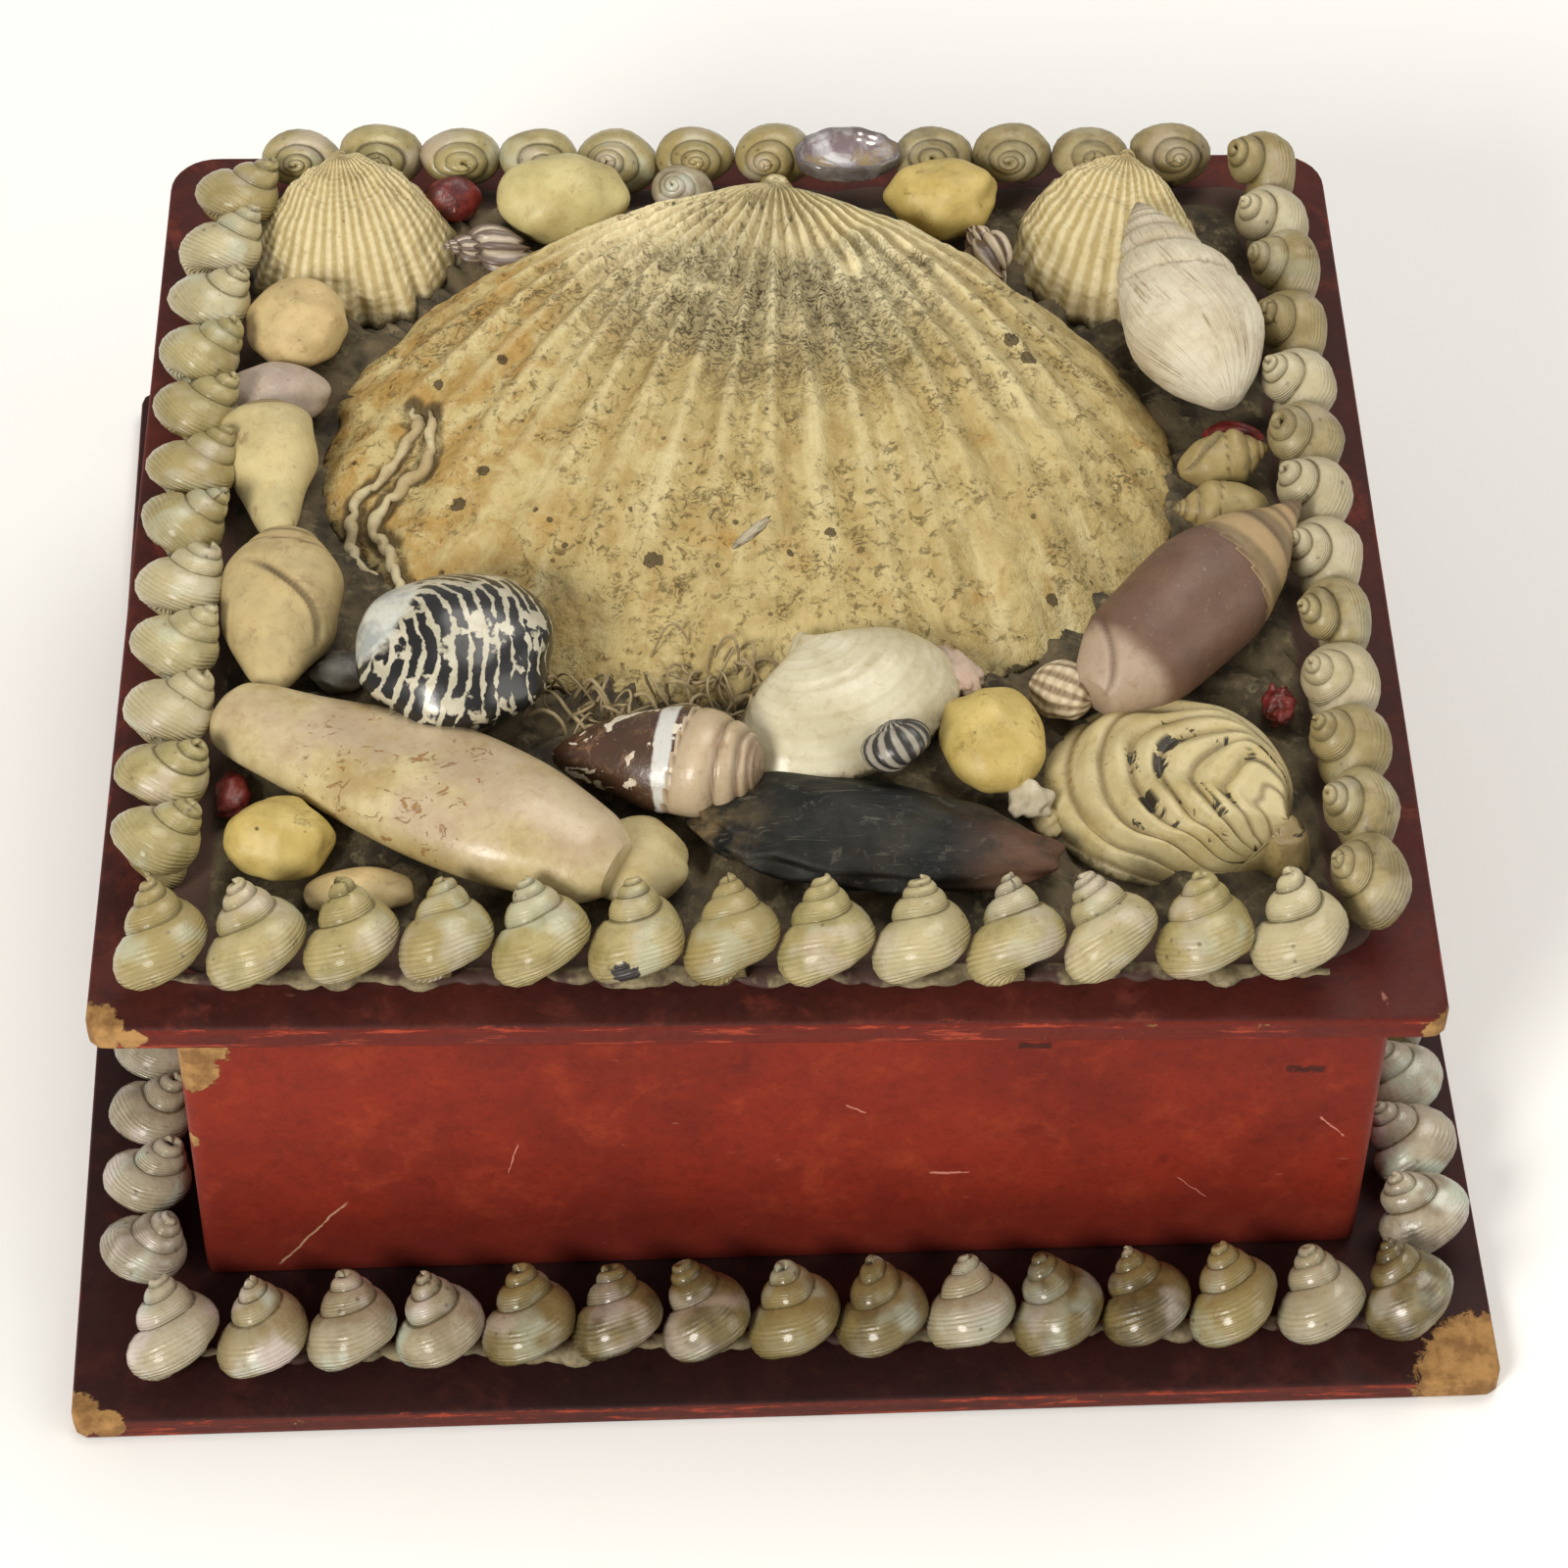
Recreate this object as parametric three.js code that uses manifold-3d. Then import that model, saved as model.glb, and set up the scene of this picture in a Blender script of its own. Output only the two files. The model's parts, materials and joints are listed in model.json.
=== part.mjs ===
// A shell-work box. A card box covered in red paper stands on a wider base board, under a lift-off lid.
// The lid carries one large scallop in a bed of putty, smaller shells packed round it, and a border of
// top shells. A second border of top shells stands on the rim of the base board.
// Millimetres, +Z up, the front faces -Y. The origin is the middle of the base board's underside.
import * as THREE from "three";
import { mergeVertices } from "three/addons/utils/BufferGeometryUtils.js";
import Module from "manifold-3d";

const wasm = await Module();
wasm.setup();

// ---------------------------------------------------------------- driving dimensions

const BASE = { width: 200, depth: 208, thick: 4, frontRadius: 2.5, backRadius: 2.5 };
const TRAY = { width: 164, depth: 159, height: 59, wall: 3.5, floor: 3, radius: 1.5 };
const LID = {
  width: 180,
  depth: 175,
  thick: 4.3,
  frontRadius: 2.5,
  backRadius: 7,
  turnDeg: -1.36, // the lid sits a little askew on the tray
  shiftX: -0.8,
};
// A shallow step under the lid drops into the tray's mouth and keeps the lid from sliding off.
const LID_STEP = { width: 149, depth: 144, thick: 2.2 };
const BED = { width: 172, depth: 166, thick: 1.6, radius: 8, ripple: 0.8, ripples: 13 };
const SEAT_GAP = 0.05; // between a glued piece and the face it stands on
const CUT_GAP = 0.45; // between a piece and the neighbour that is cut to clear it

const TOP_SHELL = { height: 11.8, apexLean: 4.6, sides: 6, overlap: 1.06 };
const COLOURS = {
  paperDark: 0x47201f,
  paperRed: 0x8a2f24,
  putty: 0x5b5544,
  topShell: 0xb5ae86,
  cream: 0xc9b98a,
  white: 0xd8d2c0,
  yellow: 0xcfb45c,
  mauve: 0x7d6259,
  zebra: 0xb9b7ab,
  lilac: 0xa89b98,
  slate: 0x35342f,
  brown: 0x6b4a38,
  red: 0x7a1d20,
};

const rad = THREE.MathUtils.degToRad;
const trayTop = BASE.thick + SEAT_GAP + TRAY.height;
const lidUnder = trayTop + SEAT_GAP;
const lidTop = lidUnder + LID.thick;

// ---------------------------------------------------------------- geometry helpers

function paint(colour) {
  return new THREE.MeshStandardMaterial({ color: colour, roughness: 0.6, metalness: 0 });
}

function namedMesh(name, geometry, colour) {
  const mesh = new THREE.Mesh(geometry, paint(colour));
  mesh.name = name;
  return mesh;
}

function solidOf(geometry) {
  const bare = geometry.clone();
  bare.deleteAttribute("normal");
  bare.deleteAttribute("uv");
  const merged = mergeVertices(bare, 1e-4);
  return new wasm.Manifold(
    new wasm.Mesh({
      numProp: 3,
      vertProperties: merged.attributes.position.array,
      triVerts: new Uint32Array(merged.index.array),
    }),
  );
}

function geometryOf(solid) {
  const mesh = solid.getMesh();
  return new THREE.BufferGeometry()
    .setAttribute("position", new THREE.BufferAttribute(mesh.vertProperties, 3))
    .setIndex(new THREE.BufferAttribute(mesh.triVerts, 1));
}

function signedVolume(points, triangles) {
  const [a, b, c] = [new THREE.Vector3(), new THREE.Vector3(), new THREE.Vector3()];
  let sum = 0;
  for (const [i, j, k] of triangles) {
    sum += a.copy(points[i]).dot(b.copy(points[j]).cross(c.copy(points[k])));
  }
  return sum / 6;
}

// A closed surface from one pole, through rings of equally many points, to another pole.
function closedSurface(firstPole, rings, lastPole) {
  const sides = rings[0].length;
  const points = [firstPole, ...rings.flat(), lastPole];
  const last = points.length - 1;
  const at = (ring, side) => 1 + ring * sides + (side % sides);
  const triangles = [];
  for (let side = 0; side < sides; side++) {
    triangles.push([0, at(0, side), at(0, side + 1)]);
    triangles.push([last, at(rings.length - 1, side + 1), at(rings.length - 1, side)]);
    for (let ring = 0; ring + 1 < rings.length; ring++) {
      const [a, b] = [at(ring, side), at(ring, side + 1)];
      const [c, d] = [at(ring + 1, side), at(ring + 1, side + 1)];
      triangles.push([a, c, b], [b, c, d]);
    }
  }
  if (signedVolume(points, triangles) < 0) triangles.forEach((t) => t.reverse());
  return new THREE.BufferGeometry().setFromPoints(points).setIndex(triangles.flat());
}

// A copy of the solid that stands gap further out all round.
function grown(solid, gap) {
  const { min, max } = solid.boundingBox();
  const middle = min.map((low, k) => (low + max[k]) / 2);
  const factor = min.map((low, k) => 1 + (2 * gap) / (max[k] - low));
  return solid
    .translate(middle.map((x) => -x))
    .scale(factor)
    .translate(middle);
}

// The largest piece of solid once the grown neighbours are cut away.
function cleared(solid, neighbours) {
  const touched = neighbours.filter((other) => solid.intersect(other).volume() > 0);
  if (!touched.length) return null;
  const rest = solid.subtract(wasm.Manifold.union(touched)).decompose();
  return rest.sort((a, b) => b.volume() - a.volume())[0];
}

function roundedRectangle(width, depth, frontRadius, backRadius) {
  const [x, y] = [width / 2, depth / 2];
  const shape = new THREE.Shape();
  shape.moveTo(-x + frontRadius, -y);
  shape.lineTo(x - frontRadius, -y);
  shape.absarc(x - frontRadius, -y + frontRadius, frontRadius, -Math.PI / 2, 0);
  shape.lineTo(x, y - backRadius);
  shape.absarc(x - backRadius, y - backRadius, backRadius, 0, Math.PI / 2);
  shape.lineTo(-x + backRadius, y);
  shape.absarc(-x + backRadius, y - backRadius, backRadius, Math.PI / 2, Math.PI);
  shape.lineTo(-x, -y + frontRadius);
  shape.absarc(-x + frontRadius, -y + frontRadius, frontRadius, Math.PI, 1.5 * Math.PI);
  return shape;
}

function plate(width, depth, thick, frontRadius, backRadius) {
  return new THREE.ExtrudeGeometry(roundedRectangle(width, depth, frontRadius, backRadius), {
    depth: thick,
    bevelEnabled: false,
    curveSegments: 3,
  });
}

// ---------------------------------------------------------------- shell forms

// The same small, even spread of numbers from 0 to 1 for each copy of a repeated shell.
function spread(index) {
  const x = Math.sin(index * 12.9898 + 4.1) * 43758.5453;
  return x - Math.floor(x);
}

// A spindle on its side along +X: tail at x = 0, apex at x = length, resting on z = 0 with a flat spot.
// profile gives the radius, as a share of half the width, at each share of the length.
function spindle({ length, width, height, profile, sides = 10, sink = 0.12 }) {
  const middle = height * (0.5 - sink / 2);
  const halfHeight = height - middle;
  const ringAt = ([along, radius], ring) =>
    Array.from({ length: sides }, (_, side) => {
      const turn = (2 * Math.PI * (side + (ring % 2) / 2)) / sides;
      const up = middle + radius * halfHeight * Math.sin(turn);
      const across = (radius * width * Math.cos(turn)) / 2;
      return new THREE.Vector3(along * length, across, Math.max(0, up));
    });
  const tail = new THREE.Vector3(0, 0, middle);
  const apex = new THREE.Vector3(length, 0, middle);
  return closedSurface(tail, profile.map(ringAt), apex);
}

const EGG = [0.08, 0.34, 0.66, 0.92].map((u) => [u, Math.sqrt(1 - (2 * u - 1) ** 2)]);
const PROFILES = {
  egg: EGG,
  whelk: [[0.05, 0.42], [0.2, 0.85], [0.4, 1], [0.56, 0.8], [0.6, 0.66], [0.74, 0.5], [0.78, 0.36], [0.92, 0.2]],
  olive: [[0.04, 0.5], [0.2, 0.84], [0.45, 1], [0.68, 0.84], [0.74, 0.72], [0.88, 0.36]],
  cone: [[0.04, 0.3], [0.3, 0.72], [0.6, 1], [0.68, 0.9], [0.74, 0.78], [0.88, 0.62], [0.95, 0.36]],
  pear: [[0.04, 0.4], [0.3, 0.62], [0.62, 1], [0.85, 0.84], [0.95, 0.45]],
  conch: [[0.03, 0.22], [0.14, 0.5], [0.4, 0.92], [0.62, 1], [0.8, 0.8], [0.93, 0.42]],
  horn: [[0.03, 0.5], [0.12, 0.8], [0.35, 1], [0.62, 0.92], [0.84, 0.66], [0.95, 0.3]],
};

// A single valve lying hollow side down. The umbo is at the origin and the valve opens along +X.
// The outline is an ellipse drawn in to the umbo by its tangents; ribs radiate and ridges ring the umbo.
function valve({
  length, width, height, halfShare = 0.44, umboLift = 0.5, beak = 0.03, crown = 0.38,
  ribs = 0, ribDepth = 0, ridges = 0, ridgeDepth = 0, columns = 12, rows = 3,
}) {
  const alongHalf = halfShare * length;
  const middle = length - alongHalf;
  const acrossHalf = width / 2;
  const fan = Math.atan(acrossHalf / Math.sqrt(middle ** 2 - alongHalf ** 2));
  const reach = (turn) => {
    if (Math.abs(turn) > fan * 1.0001) return beak * length;
    const [c, s] = [Math.cos(turn), Math.sin(turn)];
    const a = (c / alongHalf) ** 2 + (s / acrossHalf) ** 2;
    const b = (middle * c) / alongHalf ** 2;
    const d = b * b - a * ((middle / alongHalf) ** 2 - 1);
    return (b + Math.sqrt(Math.max(0, d))) / a;
  };
  const backTurns = [0.4, 0.8, 1.2, 1.6].map((share) => fan + ((Math.PI - fan) * share));
  const fanTurns = Array.from({ length: columns }, (_, i) => fan * ((2 * i) / (columns - 1) - 1));
  const turns = [...fanTurns, ...backTurns];
  const dome = (share) =>
    share < crown
      ? umboLift + (1 - umboLift) * Math.sin((Math.PI / 2) * (share / crown))
      : Math.cos((Math.PI / 2) * ((share - crown) / (1 - crown))) ** 0.8;
  const rings = Array.from({ length: rows }, (_, row) => {
    const share = (row + 1) / (rows + 1);
    return turns.map((turn, column) => {
      const far = reach(turn) * share;
      const inFan = column < columns;
      const side = inFan ? Math.cos((Math.PI / 2) * (turn / fan) ** 2 * 0.93) ** 0.7 : umboLift;
      const rib = inFan && ribs ? (ribDepth / 2) * Math.cos(ribs * Math.PI * (turn / fan + 1)) : 0;
      const ridge = ridges ? ridgeDepth * (((share * ridges) % 1) - 0.5) : 0;
      const up = inFan ? height * dome(share) * side + rib * share + ridge : height * umboLift * (1 - share);
      return new THREE.Vector3(far * Math.cos(turn), far * Math.sin(turn), Math.max(0.4, up));
    });
  });
  const margin = turns.map((turn) => {
    const far = reach(turn);
    return new THREE.Vector3(far * Math.cos(turn), far * Math.sin(turn), 0);
  });
  const top = new THREE.Vector3(0, 0, height * umboLift);
  return closedSurface(top, [...rings, margin], new THREE.Vector3(0, 0, 0));
}

const WHORLS = [[0, 0.8], [0.34, 1.04], [0.54, 0.74], [0.68, 0.54]];
const BORDER_WHORLS = [[0, 0.82], [0.4, 1.04]];

// A coiled shell standing on its mouth, its apex leaning along +X. Each whorl is a step in the cone:
// its height and its width, as shares of the shell's, tilted with the leaning axis.
function turban({ radius, height, lean, sides = 8, whorls = WHORLS }) {
  const rings = whorls.map(([up, wide]) =>
    Array.from({ length: sides }, (_, side) => {
      const turn = (2 * Math.PI * side) / sides + Math.PI / 2;
      const out = radius * wide * Math.cos(turn);
      const tilt = up > 0 ? (0.6 * out * lean) / height : 0;
      return new THREE.Vector3(lean * (up - 0.35) + out, radius * wide * Math.sin(turn), up * height - tilt);
    }),
  );
  const foot = new THREE.Vector3(-0.35 * lean, 0, 0);
  const apex = new THREE.Vector3(0.65 * lean, 0, height);
  return closedSurface(foot, rings, apex);
}

// ---------------------------------------------------------------- boards and tray

function makeBaseBoard() {
  const { width, depth, thick, frontRadius, backRadius } = BASE;
  return namedMesh("base_board", plate(width, depth, thick, frontRadius, backRadius), COLOURS.paperDark);
}

function makeTray() {
  const { width, depth, height, wall, floor, radius } = TRAY;
  const block = solidOf(plate(width, depth, height, radius, radius));
  const hollow = solidOf(new THREE.BoxGeometry(width - 2 * wall, depth - 2 * wall, height));
  const mesh = namedMesh(
    "box_tray",
    geometryOf(block.subtract(hollow.translate(0, 0, height / 2 + floor))),
    COLOURS.paperRed,
  );
  mesh.position.z = BASE.thick + SEAT_GAP;
  return mesh;
}

function makeLidBoard() {
  const board = solidOf(plate(LID.width, LID.depth, LID.thick, LID.frontRadius, LID.backRadius));
  const step = solidOf(new THREE.BoxGeometry(LID_STEP.width, LID_STEP.depth, 2 * LID_STEP.thick));
  return namedMesh("lid_board", geometryOf(board.add(step)), COLOURS.paperDark);
}

// The putty that the lid's shells are set in: a low slab with an uneven edge.
function makeBed() {
  const outline = roundedRectangle(BED.width, BED.depth, BED.radius, BED.radius).getSpacedPoints(48);
  const uneven = outline.slice(0, -1).map((point, i, all) => {
    const push = BED.ripple * Math.sin((2 * Math.PI * BED.ripples * i) / all.length);
    return point.multiplyScalar(1 + push / point.length());
  });
  const geometry = new THREE.ExtrudeGeometry(new THREE.Shape(uneven), { depth: BED.thick, bevelEnabled: false });
  const mesh = namedMesh("lid_putty_bed", geometry, COLOURS.putty);
  mesh.position.z = LID.thick + SEAT_GAP;
  return mesh;
}

// ---------------------------------------------------------------- borders of top shells

// The top shells of a row from one point to another, each touching the next, apexes leaning inward.
function borderShells({ from, to, count, inwardDeg, seed }) {
  const start = new THREE.Vector2(...from);
  const step = new THREE.Vector2(...to).sub(start).divideScalar(count - 1);
  return Array.from({ length: count }, (_, i) => {
    const geometry = turban({
      radius: (TOP_SHELL.overlap * step.length()) / 2,
      height: TOP_SHELL.height * (0.93 + 0.14 * spread(seed + i)),
      lean: TOP_SHELL.apexLean,
      sides: TOP_SHELL.sides,
      whorls: BORDER_WHORLS,
    });
    geometry.rotateZ(rad(inwardDeg));
    geometry.translate(start.x + i * step.x, start.y + i * step.y, 0);
    return solidOf(geometry);
  });
}

// The four rows of a border, each cut to clear the rows before it. Returns the meshes and their cutters.
function makeBorders(rows, floor) {
  const cutters = [];
  const meshes = Object.entries(rows).map(([name, row]) => {
    const shells = borderShells(row).map((shell) => shell.translate(0, 0, floor));
    const joined = wasm.Manifold.union(shells);
    const mesh = namedMesh(name, geometryOf(cleared(joined, cutters) ?? joined), COLOURS.topShell);
    cutters.push(wasm.Manifold.union(shells.map((shell) => grown(shell, CUT_GAP))));
    return mesh;
  });
  return { meshes, cutters };
}

const LID_BORDERS = {
  lid_border_front: { from: [-79.5, -78.2], to: [69.3, -78.2], count: 13, inwardDeg: 90, seed: 0 },
  lid_border_right: { from: [80, -70], to: [79.2, 77.2], count: 13, inwardDeg: 180, seed: 20 },
  lid_border_back_left: { from: [-70, 79.2], to: [3.4, 79.2], count: 7, inwardDeg: -90, seed: 40 },
  lid_border_back_right: { from: [28.7, 79.2], to: [65.8, 79.2], count: 4, inwardDeg: -90, seed: 50 },
  lid_border_left: { from: [-82.3, -62.2], to: [-81.2, 71.2], count: 12, inwardDeg: 0, seed: 60 },
};
const BASE_BORDERS = {
  base_border_front: { from: [-85.4, -92.8], to: [87, -92.8], count: 15, inwardDeg: 90, seed: 80 },
  base_border_right: { from: [91, -79], to: [91, 79], count: 14, inwardDeg: 180, seed: 100 },
  base_border_back: { from: [86.4, 92.8], to: [-86.4, 92.8], count: 15, inwardDeg: -90, seed: 120 },
  base_border_left: { from: [-90, 79], to: [-90, -79], count: 14, inwardDeg: 0, seed: 140 },
};

// ---------------------------------------------------------------- shells on the lid

// Each shell has its form, its colour, its own sizes, the place of its middle (or, for a valve, of its
// umbo) on the lid, and the way its +X points: a spindle's apex, a valve's margin, a turban's apex.
// lift is how far it stands above the bed, where it lies partly on its neighbours. Shells that lie on
// others come first, and a shell further down the list is cut to clear the ones before it.
const LID_SHELLS = {
  white_whelk: {
    form: "whelk", colour: "white", at: [63.6, 38.3], headingDeg: 101, lift: 3.2,
    length: 42, width: 20.5, height: 16,
  },
  zebra_nerite: {
    form: "turban", colour: "zebra", at: [-42.6, -32.4], headingDeg: 150, lift: 3.5,
    radius: 13.6, height: 16, lean: 7, sides: 12, whorls: [[0, 0.78], [0.3, 1], [0.62, 0.82], [0.86, 0.4]],
  },
  white_tellin: {
    form: "egg", colour: "white", at: [12, -37.4], headingDeg: 37, lift: 4.6,
    length: 36, width: 22.5, height: 7.5, sides: 12,
  },
  pearl_limpet: {
    form: "egg", colour: "lilac", at: [14.8, 75.6], headingDeg: 3, lift: 4.2,
    length: 16.5, width: 10.5, height: 5.5,
  },
  large_olive: {
    form: "olive", colour: "mauve", at: [61.2, -20.6], headingDeg: 47, lift: 0.6,
    length: 45, width: 20.5, height: 17.5, sides: 14,
  },
  mottled_cone: {
    form: "cone", colour: "brown", at: [-14.5, -48.2], headingDeg: -11, lift: 0,
    length: 28.5, width: 16, height: 14.5, sides: 12,
  },
  dark_periwinkle: {
    form: "turban", colour: "slate", at: [17.4, -47.2], headingDeg: 120, lift: 6,
    radius: 5, height: 6.4, lean: 2,
  },
  left_drill: {
    form: "whelk", colour: "brown", at: [-39.6, 58.6], headingDeg: 185, lift: 0.8,
    length: 13, width: 7.5, height: 6.6, sides: 8,
  },
  right_drill: {
    form: "whelk", colour: "brown", at: [35, 56.8], headingDeg: 115, lift: 0.6,
    length: 13.5, width: 7.5, height: 7, sides: 8,
  },
  small_turban: {
    form: "turban", colour: "topShell", at: [-10.4, 70.6], headingDeg: -110, lift: 1.4,
    radius: 5, height: 8.5, lean: 3.4,
  },
  cowrie_back_left: {
    form: "egg", colour: "yellow", at: [-28.6, 67.6], headingDeg: 8, lift: 0.6,
    length: 20.5, width: 15.6, height: 12.2,
  },
  cowrie_back_right: {
    form: "egg", colour: "yellow", at: [29, 67.8], headingDeg: -12, lift: 0.6,
    length: 18.2, width: 14, height: 11.6,
  },
  cowrie_left: {
    form: "egg", colour: "cream", at: [-68, 40.6], headingDeg: 80, lift: 0.4,
    length: 16.5, width: 15.6, height: 11.5,
  },
  cowrie_front_left: {
    form: "egg", colour: "yellow", at: [-65.2, -60.6], headingDeg: 10, lift: 0,
    length: 15.2, width: 12.6, height: 10.5,
  },
  cowrie_front_right: {
    form: "egg", colour: "yellow", at: [31, -44.2], headingDeg: 60, lift: 0.4,
    length: 17.6, width: 14.6, height: 11.5,
  },
  ribbed_button: {
    form: "turban", colour: "white", at: [41.4, -34.2], headingDeg: 160, lift: 1.5,
    radius: 5, height: 7.5, lean: 2.4,
  },
  lilac_shell: {
    form: "egg", colour: "lilac", at: [-70.6, 26.6], headingDeg: 12, lift: 0,
    length: 17, width: 11.4, height: 8.6, sides: 8,
  },
  pointed_conch: {
    form: "conch", colour: "cream", at: [-67, -19.8], headingDeg: 88, lift: 1,
    length: 29, width: 16.4, height: 13,
  },
  pear_cone: {
    form: "pear", colour: "cream", at: [-70.4, 9.6], headingDeg: 97, lift: 1,
    length: 23, width: 13.4, height: 11,
  },
  long_horn: {
    form: "horn", colour: "cream", at: [-46.4, -54.8], headingDeg: -28.5, lift: 0.6,
    length: 65, width: 20, height: 13.5, sides: 12,
  },
  venus_clam: {
    form: "valve", colour: "cream", at: [69.2, -61.8], headingDeg: 139, lift: 0,
    length: 36.5, width: 34.5, height: 14, umboLift: 0.72, crown: 0.3, beak: 0.12, ridges: 4, ridgeDepth: 1.1,
    columns: 13, rows: 6,
  },
  left_cockle: {
    form: "valve", colour: "cream", at: [-63.6, 74], headingDeg: -79, lift: 0,
    length: 29, width: 33, height: 13, umboLift: 0.72, crown: 0.32, beak: 0.1, ribs: 6, ribDepth: 1.1,
    columns: 19, rows: 3,
  },
  right_cockle: {
    form: "valve", colour: "cream", at: [59.4, 73.8], headingDeg: -106, lift: 0,
    length: 31, width: 31, height: 12.5, umboLift: 0.72, crown: 0.32, beak: 0.1, ribs: 6, ribDepth: 1.1,
    columns: 19, rows: 3,
  },
  upper_twin: {
    form: "conch", colour: "cream", at: [68, 11.6], headingDeg: 14, lift: 0.8,
    length: 14.6, width: 9, height: 8, sides: 8,
  },
  lower_twin: {
    form: "egg", colour: "cream", at: [66.6, 2.4], headingDeg: 8, lift: 0,
    length: 14.6, width: 8.6, height: 8.4, sides: 8,
  },
  black_mussel: {
    form: "horn", colour: "slate", at: [14.6, -60.2], headingDeg: -10, lift: 0,
    length: 49, width: 17.5, height: 9, sides: 12,
  },
  scallop: {
    form: "valve", colour: "cream", at: [4, 70.6], headingDeg: -95, lift: 0,
    length: 105, width: 125, height: 19, halfShare: 0.462, umboLift: 0.42, crown: 0.42, beak: 0.04,
    ribs: 10, ribDepth: 1.5, columns: 41, rows: 6,
  },
  horn_under: {
    form: "egg", colour: "cream", at: [-17.6, -63.6], headingDeg: 48, lift: 0,
    length: 17, width: 12, height: 7.5, sides: 8,
  },
  flat_pebble: {
    form: "egg", colour: "cream", at: [-54.6, -67], headingDeg: -8, lift: 0,
    length: 15, width: 7.6, height: 4.6, sides: 8,
  },
  tooth_shell: {
    form: "horn", colour: "white", at: [36.2, -52.4], headingDeg: 50, lift: 1.2,
    length: 8.5, width: 4.6, height: 4.4, sides: 8,
  },
  slate_chip: {
    form: "egg", colour: "slate", at: [-58.8, -27], headingDeg: 35, lift: 0,
    length: 10, width: 6, height: 4.4, sides: 8,
  },
  red_seed_front: {
    form: "egg", colour: "red", at: [-72.2, -50], headingDeg: 110, lift: 0,
    length: 8.4, width: 5, height: 4.6, sides: 8,
  },
  red_seed_right: {
    form: "egg", colour: "red", at: [71.4, -35.8], headingDeg: 80, lift: 0.6,
    length: 6.8, width: 5.2, height: 5, sides: 8,
  },
  red_seed_under_whelk: {
    form: "egg", colour: "red", at: [70, 19.2], headingDeg: 15, lift: 0,
    length: 9.5, width: 4.4, height: 4.2, sides: 8,
  },
  red_bean_back: {
    form: "egg", colour: "red", at: [-45.6, 70.6], headingDeg: -30, lift: 0,
    length: 10, width: 7, height: 8, sides: 8,
  },
};

function formOf(shell) {
  if (shell.form === "turban") return turban(shell);
  if (shell.form === "valve") return valve(shell);
  return spindle({ ...shell, profile: PROFILES[shell.form] }).translate(-shell.length / 2, 0, 0);
}

function makeLidShells(floor, standing) {
  const cutters = [...standing];
  return Object.entries(LID_SHELLS).map(([name, shell]) => {
    const mesh = namedMesh(name, formOf(shell), COLOURS[shell.colour]);
    mesh.position.set(...shell.at, floor + shell.lift);
    mesh.rotation.z = rad(shell.headingDeg);
    mesh.updateMatrix();
    const whole = solidOf(mesh.geometry).transform(mesh.matrix.elements);
    const cut = cleared(whole, cutters);
    if (cut) mesh.geometry = geometryOf(cut.transform(mesh.matrix.clone().invert().elements));
    cutters.push(grown(whole, CUT_GAP));
    return mesh;
  });
}

// ---------------------------------------------------------------- assembly

function makeLid() {
  const lid = new THREE.Group();
  lid.position.set(LID.shiftX, 0, lidUnder);
  lid.rotation.z = rad(LID.turnDeg);
  const bedTop = LID.thick + BED.thick + 2 * SEAT_GAP;
  const borders = makeBorders(LID_BORDERS, bedTop);
  lid.add(makeLidBoard(), makeBed(), ...borders.meshes, ...makeLidShells(bedTop, borders.cutters));
  return lid;
}

const shellBox = new THREE.Group();
shellBox.add(makeBaseBoard(), makeTray(), makeLid());
shellBox.add(...makeBorders(BASE_BORDERS, BASE.thick + SEAT_GAP).meshes);

export default shellBox;
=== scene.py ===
"""The looks of a shell-work box: a paper-covered card box on a wider base board, under a lid of sea shells.

Metres, +Z up, the front towards -Y. Every piece is a closed mesh made from rings of points, set in the box of
the CAD node that it replaces.
"""

import json
import math

import bpy
import numpy as np
from mathutils import Matrix, Vector
from mathutils.bvhtree import BVHTree

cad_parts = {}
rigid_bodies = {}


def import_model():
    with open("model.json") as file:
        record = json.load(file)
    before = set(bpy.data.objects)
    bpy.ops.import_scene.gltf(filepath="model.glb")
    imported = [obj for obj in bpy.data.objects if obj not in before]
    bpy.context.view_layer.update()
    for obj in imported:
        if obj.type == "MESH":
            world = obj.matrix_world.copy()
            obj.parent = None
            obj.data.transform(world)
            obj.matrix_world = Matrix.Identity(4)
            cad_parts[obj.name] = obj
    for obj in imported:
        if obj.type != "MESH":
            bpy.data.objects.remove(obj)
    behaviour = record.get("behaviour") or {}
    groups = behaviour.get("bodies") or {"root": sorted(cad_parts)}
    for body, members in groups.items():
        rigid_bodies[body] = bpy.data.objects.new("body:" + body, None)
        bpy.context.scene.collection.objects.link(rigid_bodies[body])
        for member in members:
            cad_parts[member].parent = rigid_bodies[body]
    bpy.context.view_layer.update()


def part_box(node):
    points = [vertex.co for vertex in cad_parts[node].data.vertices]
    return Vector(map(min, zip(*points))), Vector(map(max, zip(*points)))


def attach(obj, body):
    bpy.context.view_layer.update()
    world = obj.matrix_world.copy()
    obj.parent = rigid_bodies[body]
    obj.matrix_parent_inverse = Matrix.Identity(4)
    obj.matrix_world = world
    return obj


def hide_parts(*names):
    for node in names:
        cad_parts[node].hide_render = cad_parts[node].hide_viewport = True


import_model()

MM = 0.001
LID_TURN_DEG = -1.36  # the lid sits a little askew on the tray

CAMERA = {
    "lens": 104.3,
    "azimuth": -3.48,
    "elevation": 48.24,
    "roll": 1.16,
    "distance": 0.6615,
    "target": (0.0023, -0.0207, 0.040),
}

# ---------------------------------------------------------------- mesh building


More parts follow.
